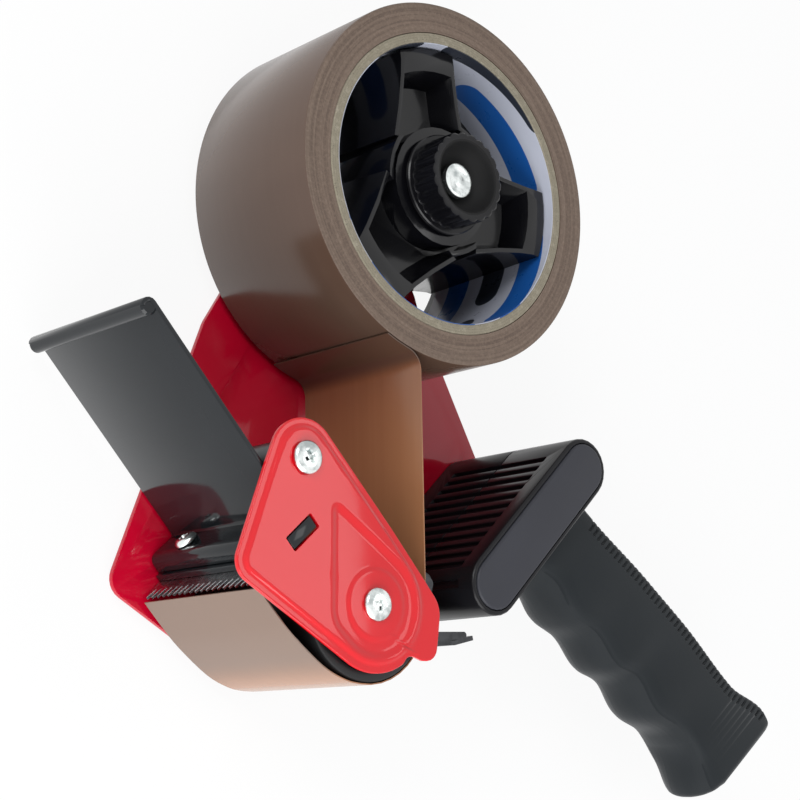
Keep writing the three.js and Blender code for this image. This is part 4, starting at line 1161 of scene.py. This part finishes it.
@dataclass
class Screws(Assembly):
    """Pan-head screws with a cross recess, each turned and cut to its own size."""

    radius: float = 4.15
    height: float = 1.6
    shank: float = 8.0
    shank_radius: float = 2.0
    dome: Profile = (
        (0.98, 0), (1, 0.15), (1, 0.5), (0.97, 0.8), (0.86, 1.22), (0.66, 1.5), (0.4, 1.57), (0, 1.6),
    )
    recess: Triple = (4.6, 1.15, 2.2)
    recess_taper: Triple = (0.5, 0.7, 1)
    wiper_size: float = 0.744
    wiper_place: Pair = (-0.1, -4.3)
    wiper_heights: Pair = (12.0, 40.2)
    spacer_seat: float = 54.1
    roller_seat: float = 53.65
    start_turn: float = 0.5

    def build(self) -> None:
        """Models a screw at each near place and leaves the hidden far ones as the frame has them."""
        outward = HEAD.at(-1, 0, 0) - HEAD.at(0, 0, 0)
        upward = Vector((0, 0, 1))
        far, near = (HEAD.at(*self.wiper_place, z) for z in self.wiper_heights)
        places = {
            "spacer_screw_near": (DATUM.at(*SPACER, self.spacer_seat), upward, 1.0),
            "roller_screw_near": (DATUM.at(*ROLLER, self.roller_seat), upward, 1.0),
            "wiper_screw_far": (far, outward, self.wiper_size),
            "wiper_screw_near": (near, outward, self.wiper_size),
        }
        for turn, (node, (place, axis, size)) in enumerate(places.items()):
            piece = self.head(f"{node}_made", size)
            twist = Matrix.Rotation(self.start_turn + turn, 3, "Z").to_quaternion()
            piece.rotation_mode = "QUATERNION"
            piece.rotation_quaternion = axis.to_track_quat("Z", "Y") @ twist
            piece.location = place
            self.add(piece, Finish.ZINC, "zinc_steel", [node], smooth=40)
        self.dress(Finish.ZINC, "spacer_screw_far", "roller_screw_far")
        self.dress(Finish.ZINC, "handle_screw_high", "handle_screw_low")

    def head(self, name: str, size: float) -> Piece:
        """Turns a head and shank at the world's origin and cuts the cross recess.

        Args:
            name: The new piece's name.
            size: The head's width as a share of the widest one's.

        Returns:
            The screw, along Z, its seat at height 0.
        """
        dome = [(self.radius * size * share, height) for share, height in self.dome]
        shank = [(0, -self.shank), (self.shank_radius, -self.shank), (self.shank_radius, 0)]
        piece = Bench.lathe(name, [*shank, *dome], Vector((0, 0, 0)), 64)
        long, wide, deep = self.recess
        Bench.clear()
        bpy.ops.mesh.primitive_cube_add(size=1, location=(0, 0, self.height / METRE))
        cutter = bpy.context.object
        bpy.ops.transform.resize(value=(long * size / METRE, wide * size / METRE, deep / METRE))
        Bench.fix()
        Bench.open()
        Bench.pick(cutter, lambda place: place.z < self.height / METRE / 2)
        bpy.ops.transform.resize(value=self.recess_taper, center_override=(0, 0, 0))
        bpy.ops.mesh.select_all(action="SELECT")
        bpy.ops.mesh.duplicate()
        bpy.ops.transform.rotate(value=math.pi / 2, orient_axis="Z", center_override=(0, 0, 0))
        bpy.ops.object.mode_set(mode="OBJECT")
        Bench.cut(piece, cutter, solver="EXACT", use_self=True)
        Bench.round_edges(piece, 0.08, 2, 50)
        return piece


@dataclass
class Roller(Assembly):
    """The rubber-sleeved roller under the near plate's lower screw."""

    body = "roller"
    sleeve: Profile = ((16.1, 0), (17.9, 0), (18.3, 0.2), (18.5, 0.6))
    span: Pair = (1.5, 50.5)

    def build(self) -> None:
        """Models the sleeve and spool."""
        sleeve = Bench.drum("sleeve", self.sleeve, self.span, DATUM.at(*ROLLER, 0), 128)
        self.add(sleeve, Finish.ROLLER, "roller_rubber", ["roller_sleeve"])
        self.refine("roller_core", Finish.KNOB, "knob_plastic", 0.25)
        self.dress(Finish.FIBRE, "roller_bush_far", "roller_bush_near")
        self.dress(Finish.ZINC, "roller_shaft")


@dataclass
class BladeHead(Assembly):
    """The wiper, its bracket and the toothed blade."""

    bead: Profile = ((0, 0), (1.62, 0), (2.12, 0.5))
    bead_place: Pair = (-60.4, -1.0)
    bead_span: Pair = (0.7, 51.4)
    tab: Triple = (3.3, 8.9, 2.2)
    tab_middle: float = 52.5

    def build(self) -> None:
        """Rounds the sheet pieces' edges, and adds the wiper's bead and the tab in the near plate's slot."""
        self.refine("wiper_plate", Finish.SHEET, "black_sheet", 0.25, sharp=50)
        bead = Bench.drum("wiper_bead", self.bead, self.bead_span, HEAD.at(*self.bead_place, 0), 48)
        self.add(bead, Finish.SHEET, "black_sheet", ["wiper_plate"])
        tab = Bench.block("bracket_tab", self.tab, HEAD.at(*SLOT, self.tab_middle), HEAD.turn)
        Bench.round_edges(tab, 0.3, 3)
        self.add(tab, Finish.SHEET, "black_sheet", ["cross_bracket"])
        self.refine("cross_bracket", Finish.SHEET, "black_sheet", 0.25, sharp=50)
        self.refine("blade", Finish.BLADE, "blade_steel", 0.08, 1, sharp=60)


@dataclass
class HandleBox(Assembly):
    """The grooved handle box and its cap."""

    def build(self) -> None:
        """Rounds the shells' edges."""
        self.refine("handle_box_far", Finish.BOX, "box_plastic", 0.3, 2)
        self.refine("handle_box_near", Finish.BOX, "box_plastic", 0.4, 3)
        self.refine("handle_box_cap", Finish.CAP, "cap_plastic", 0.25, 2)


@dataclass
class PistolGrip(Assembly):
    """The rubber grip, with finger hollows in front and ribs down its back.

    Its hollows and ribs differ at every section, which no single operator gives, so a drum is cut into rings
    and each ring is set to its own section.
    """

    foot: Pair = (67.387, -80.398)
    turn: float = -37.5
    length: float = 107.6
    head: float = -10.2
    depth: float = 28.4
    half_width: float = 11.0
    midplane: float = 25.0
    head_slant: float = -0.131
    butt_slant: float = -0.265
    butt_round: float = 3.0
    strap_reach: float = 5.6
    strap_lip: float = 0.35
    crease: float = 0.7
    rib_rings: int = 6
    rib_depth: float = 0.7
    rib_span: Pair = (0.1, 0.955)
    rings: int = 313
    cuts: tuple[int, int] = (77, 3)
    blank: float = 0.1
    strap_points: int = 12
    lip_points: int = 3
    strap_curve: float = 0.55
    nose_points: int = 11
    back: Profile = ((0, 0), (0.1, 0), (0.38, -0.045), (0.54, -0.05), (0.8, 0), (0.94, -0.12), (1, -0.08))
    panel: Profile = (
        (0, 0.84), (0.07, 0.82), (0.143, 0.722), (0.252, 0.87), (0.355, 0.775), (0.463, 0.838),
        (0.541, 0.722), (0.662, 0.838), (0.753, 0.782), (0.884, 0.877), (1, 0.95),
    )
    front: Profile = (
        (0, 1), (0.12, 0.995), (0.27, 1.04), (0.34, 1.003), (0.45, 1.066), (0.54, 0.992), (0.66, 1.07),
        (0.78, 0.96), (0.82, 0.963), (1, 1.22),
    )

    @property
    def around(self) -> int:
        """Points round a section."""
        return 2 * (self.strap_points + self.nose_points)

    def build(self) -> None:
        """Models the sleeve ring by ring."""
        Bench.clear()
        size = {"radius": self.blank / 10, "depth": self.blank, "location": (0, 0, 0)}
        bpy.ops.mesh.primitive_cylinder_add(vertices=self.around, **size)
        piece = bpy.context.object
        piece.name = "grip"
        Bench.open("EDGE")
        for cuts in self.cuts:
            bpy.ops.mesh.select_all(action="DESELECT")
            mesh = bmesh.from_edit_mesh(piece.data)
            for edge in mesh.edges:
                edge.select_set(abs(edge.verts[0].co.z - edge.verts[1].co.z) > self.blank / METRE)
            bmesh.update_edit_mesh(piece.data)
            bpy.ops.mesh.subdivide(number_cuts=cuts)
        mesh = bmesh.from_edit_mesh(piece.data)
        for vertex in mesh.verts:
            ring = round((vertex.co.z / self.blank + 0.5) * (self.rings - 1))
            spoke = round(math.atan2(vertex.co.y, vertex.co.x) / (2 * math.pi) * self.around) % self.around
            vertex.co = self.place(ring, spoke)
        bmesh.update_edit_mesh(piece.data)
        bpy.ops.mesh.select_all(action="SELECT")
        bpy.ops.mesh.normals_make_consistent(inside=False)
        bpy.ops.object.mode_set(mode="OBJECT")
        self.add(piece, Finish.GRIP, "grip_rubber", ["grip_sleeve"], smooth=50)
        self.dress(Finish.BOX, "grip_core")

    @staticmethod
    def between(table: Profile, share: float) -> float:
        """Reads a table with an eased step between its entries.

        Args:
            table: Places and values, in order.
            share: The place to read.

        Returns:
            The value there.
        """
        for (start, low), (end, high) in zip(table, table[1:]):
            if share <= end:
                return low + (high - low) * (1 - math.cos(math.pi * (share - start) / (end - start))) / 2
        return table[-1][1]

    def section(self, ring: int, step: int) -> Pair:
        """Finds a point of one half of a section, from the back strap over the panel to the nose.

        Args:
            ring: Which section, counted from the box.
            step: Which point, counted from the middle of the back.

        Returns:
            Its depth from the back line and its distance from the middle plane, in millimetres.
        """
        share = ring / (self.rings - 1)
        rise = max(self.butt_round - (1 - share) * self.length, 0)
        pinch = self.butt_round - math.sqrt(self.butt_round ** 2 - rise ** 2)
        wide = self.half_width - pinch
        panel = self.between(self.panel, share) * self.depth
        if step == self.strap_points:
            return panel, wide
        if step > self.strap_points:
            angle = math.pi / 2 * (1 - (step - self.strap_points) / self.nose_points)
            front = self.between(self.front, share) * self.depth - pinch
            nose = panel + self.crease
            return nose + (front - nose) * math.cos(angle), (wide - self.crease) * math.sin(angle)
        strap = self.strap_points - self.lip_points
        beyond = max(step - strap, 0)
        angle = math.pi / 2 * min(step / strap, 1)
        rib = 0 if beyond else self.rib(ring)
        back = self.between(self.back, share) * self.depth + pinch
        deep = back + self.strap_reach * (1 - abs(math.cos(angle)) ** self.strap_curve)
        deep += rib * math.cos(angle) + self.strap_lip * beyond
        return deep, wide * math.sin(angle) ** self.strap_curve - rib * math.sin(angle)

    def place(self, ring: int, spoke: int) -> Vector:
        """Finds one point of the skin.

        Args:
            ring: Which section, counted from the box.
            spoke: Which point of the section, counted from the middle of the back.

        Returns:
            The place in the frame.
        """
        near = spoke <= self.around / 2
        deep, across = self.section(ring, spoke if near else self.around - spoke)
        share = ring / (self.rings - 1)
        slant = self.head_slant + (self.butt_slant - self.head_slant) * share
        along = self.head + self.length * share + slant * deep
        return Turned(*self.foot, self.turn).at(along, -deep, self.midplane + (across if near else -across))

    def rib(self, ring: int) -> float:
        """Depth of the ribbing at a ring, in millimetres."""
        low, high = self.rib_span
        grooved = low < ring / (self.rings - 1) < high and ring % self.rib_rings < 2
        return self.rib_depth if grooved else 0


@dataclass
class RetainingLever(Assembly):
    """The sprung lever that keeps the tape on the roller."""

    def build(self) -> None:
        """Rounds the lever's edges."""
        self.refine("retaining_lever", Finish.DARK_STEEL, "plain_steel", 0.2, 2, "lever", 50)
        self.dress(Finish.DARK_STEEL, "lever_pin")
        self.dress(Finish.SPRING, "lever_spring")


@dataclass
class TapeStrip(Assembly):
    """The tape from the roll round the roller to the teeth."""

    width: float = 0.048

    def build(self) -> None:
        piece = Bench.copy_of("strip", "tape_strip")
        self.add(piece, Finish.TAPE_FILM, "tape_film", ["tape_strip"], smooth=45)


@dataclass
class Studio:
    """Floor, soft lights and the camera."""

    place: Triple = (-313.887, -154.273, 393.564)
    right: Triple = (0.757905, 0.0, 0.652364)
    up: Triple = (-0.13108, 0.979606, 0.152286)
    lens: float = 82.485
    floor_size: float = 12.0
    floor_drop: float = 0.0002
    floor_colour: Colour = (0.9, 0.9, 0.9)
    floor_glow: float = 0.9
    room_light: float = 0.5
    room_colour: Colour = (0.95, 0.97, 1.0)
    aim: Triple = (0, -50, 25)

    def build(self) -> None:
        """Sets the floor, the room, the lamps and the camera."""
        self.floor()
        self.room()
        self.lamp("card", DATUM.at(297, -10, 574), 0.15, 0.13)
        self.lamp("left", DATUM.at(-700, 420, 700), 0.5, 4.5)
        self.lamp("low", DATUM.at(-300, -700, 350), 0.7, 6.0)
        self.camera()

    @staticmethod
    def seen(wiring: Wiring) -> Signal:
        """Tells rays from the camera, a mirror or glass from those that light the object.

        Args:
            wiring: The tree to add the test to.

        Returns:
            1 for the former and 0 for the latter.
        """
        path = wiring.node("ShaderNodeLightPath", {}, {})
        direct = path.out("Is Camera Ray").most(path.out("Is Glossy Ray"))
        return direct.most(path.out("Is Transmission Ray"))

    def floor(self) -> None:
        """A plain pale floor that stays white to the camera and keeps the shadow."""
        Bench.clear()
        bpy.ops.mesh.primitive_plane_add(size=self.floor_size, location=(0, 0, -self.floor_drop))
        floor = bpy.context.object
        floor.name = "floor"
        material = bpy.data.materials.new("pale_floor")
        wiring = Wiring(material)
        matte = wiring.node("ShaderNodeBsdfDiffuse", {}, {"Color": self.floor_colour})
        glow = wiring.node("ShaderNodeEmission", {}, {"Strength": 1.0})
        share = self.seen(wiring) * self.floor_glow
        mix = wiring.node("ShaderNodeMixShader", {}, {0: share, 1: matte, 2: glow})
        wiring.node("ShaderNodeOutputMaterial", {}, {0: mix})
        floor.data.materials.append(material)

    def room(self) -> None:
        """A white room: plain as a light, bright to the camera and in reflections."""
        world = bpy.data.worlds.new("room")
        bpy.context.scene.world = world
        wiring = Wiring(world)
        inputs = {"Color": self.room_colour, "Strength": self.room_light}
        light = wiring.node("ShaderNodeBackground", {}, inputs)
        white = wiring.node("ShaderNodeBackground", {}, {"Color": (1, 1, 1), "Strength": 1.0})
        mix = wiring.node("ShaderNodeMixShader", {}, {0: self.seen(wiring), 1: light, 2: white})
        wiring.node("ShaderNodeOutputWorld", {}, {0: mix})

    def lamp(self, name: str, place: Vector, size: float, watts: float) -> None:
        """Sets a square soft light that faces the part's middle.

        Args:
            name: The lamp's name.
            place: Where it hangs.
            size: Its side in metres.
            watts: Its power.
        """
        data = bpy.data.lights.new(name, "AREA")
        data.size = size
        data.energy = watts
        lamp = bpy.data.objects.new(name, data)
        bpy.context.scene.collection.objects.link(lamp)
        lamp.location = place
        lamp.rotation_mode = "QUATERNION"
        lamp.rotation_quaternion = (DATUM.at(*self.aim) - place).to_track_quat("-Z", "Y")

    def camera(self) -> None:
        """Sets the camera at the photograph's viewing angle."""
        data = bpy.data.cameras.new("camera")
        data.lens = self.lens
        data.sensor_width = 36
        data.clip_start = 0.01
        camera = bpy.data.objects.new("camera", data)
        bpy.context.scene.collection.objects.link(camera)
        right = Vector(self.right).normalized()
        back = right.cross(Vector(self.up)).normalized()
        up = back.cross(right)
        turn = Matrix((right, up, back)).transposed().to_4x4()
        camera.matrix_world = Matrix.Translation(DATUM.at(*self.place)) @ turn
        bpy.context.scene.camera = camera


def main() -> None:
    """Builds every sub-assembly, then the studio."""
    logging.basicConfig(level=logging.INFO, format="%(name)s %(message)s")
    for assembly in (TapeRoll(), BrakeHub(), SidePlates(), Screws(), Roller(), BladeHead(), HandleBox(),
                     PistolGrip(), RetainingLever(), TapeStrip()):
        LOG.info("building %s", type(assembly).__name__)
        assembly.build()
    Studio().build()
    scene = bpy.context.scene
    scene.view_settings.view_transform = "Standard"


if __name__ == "__main__":
    main()
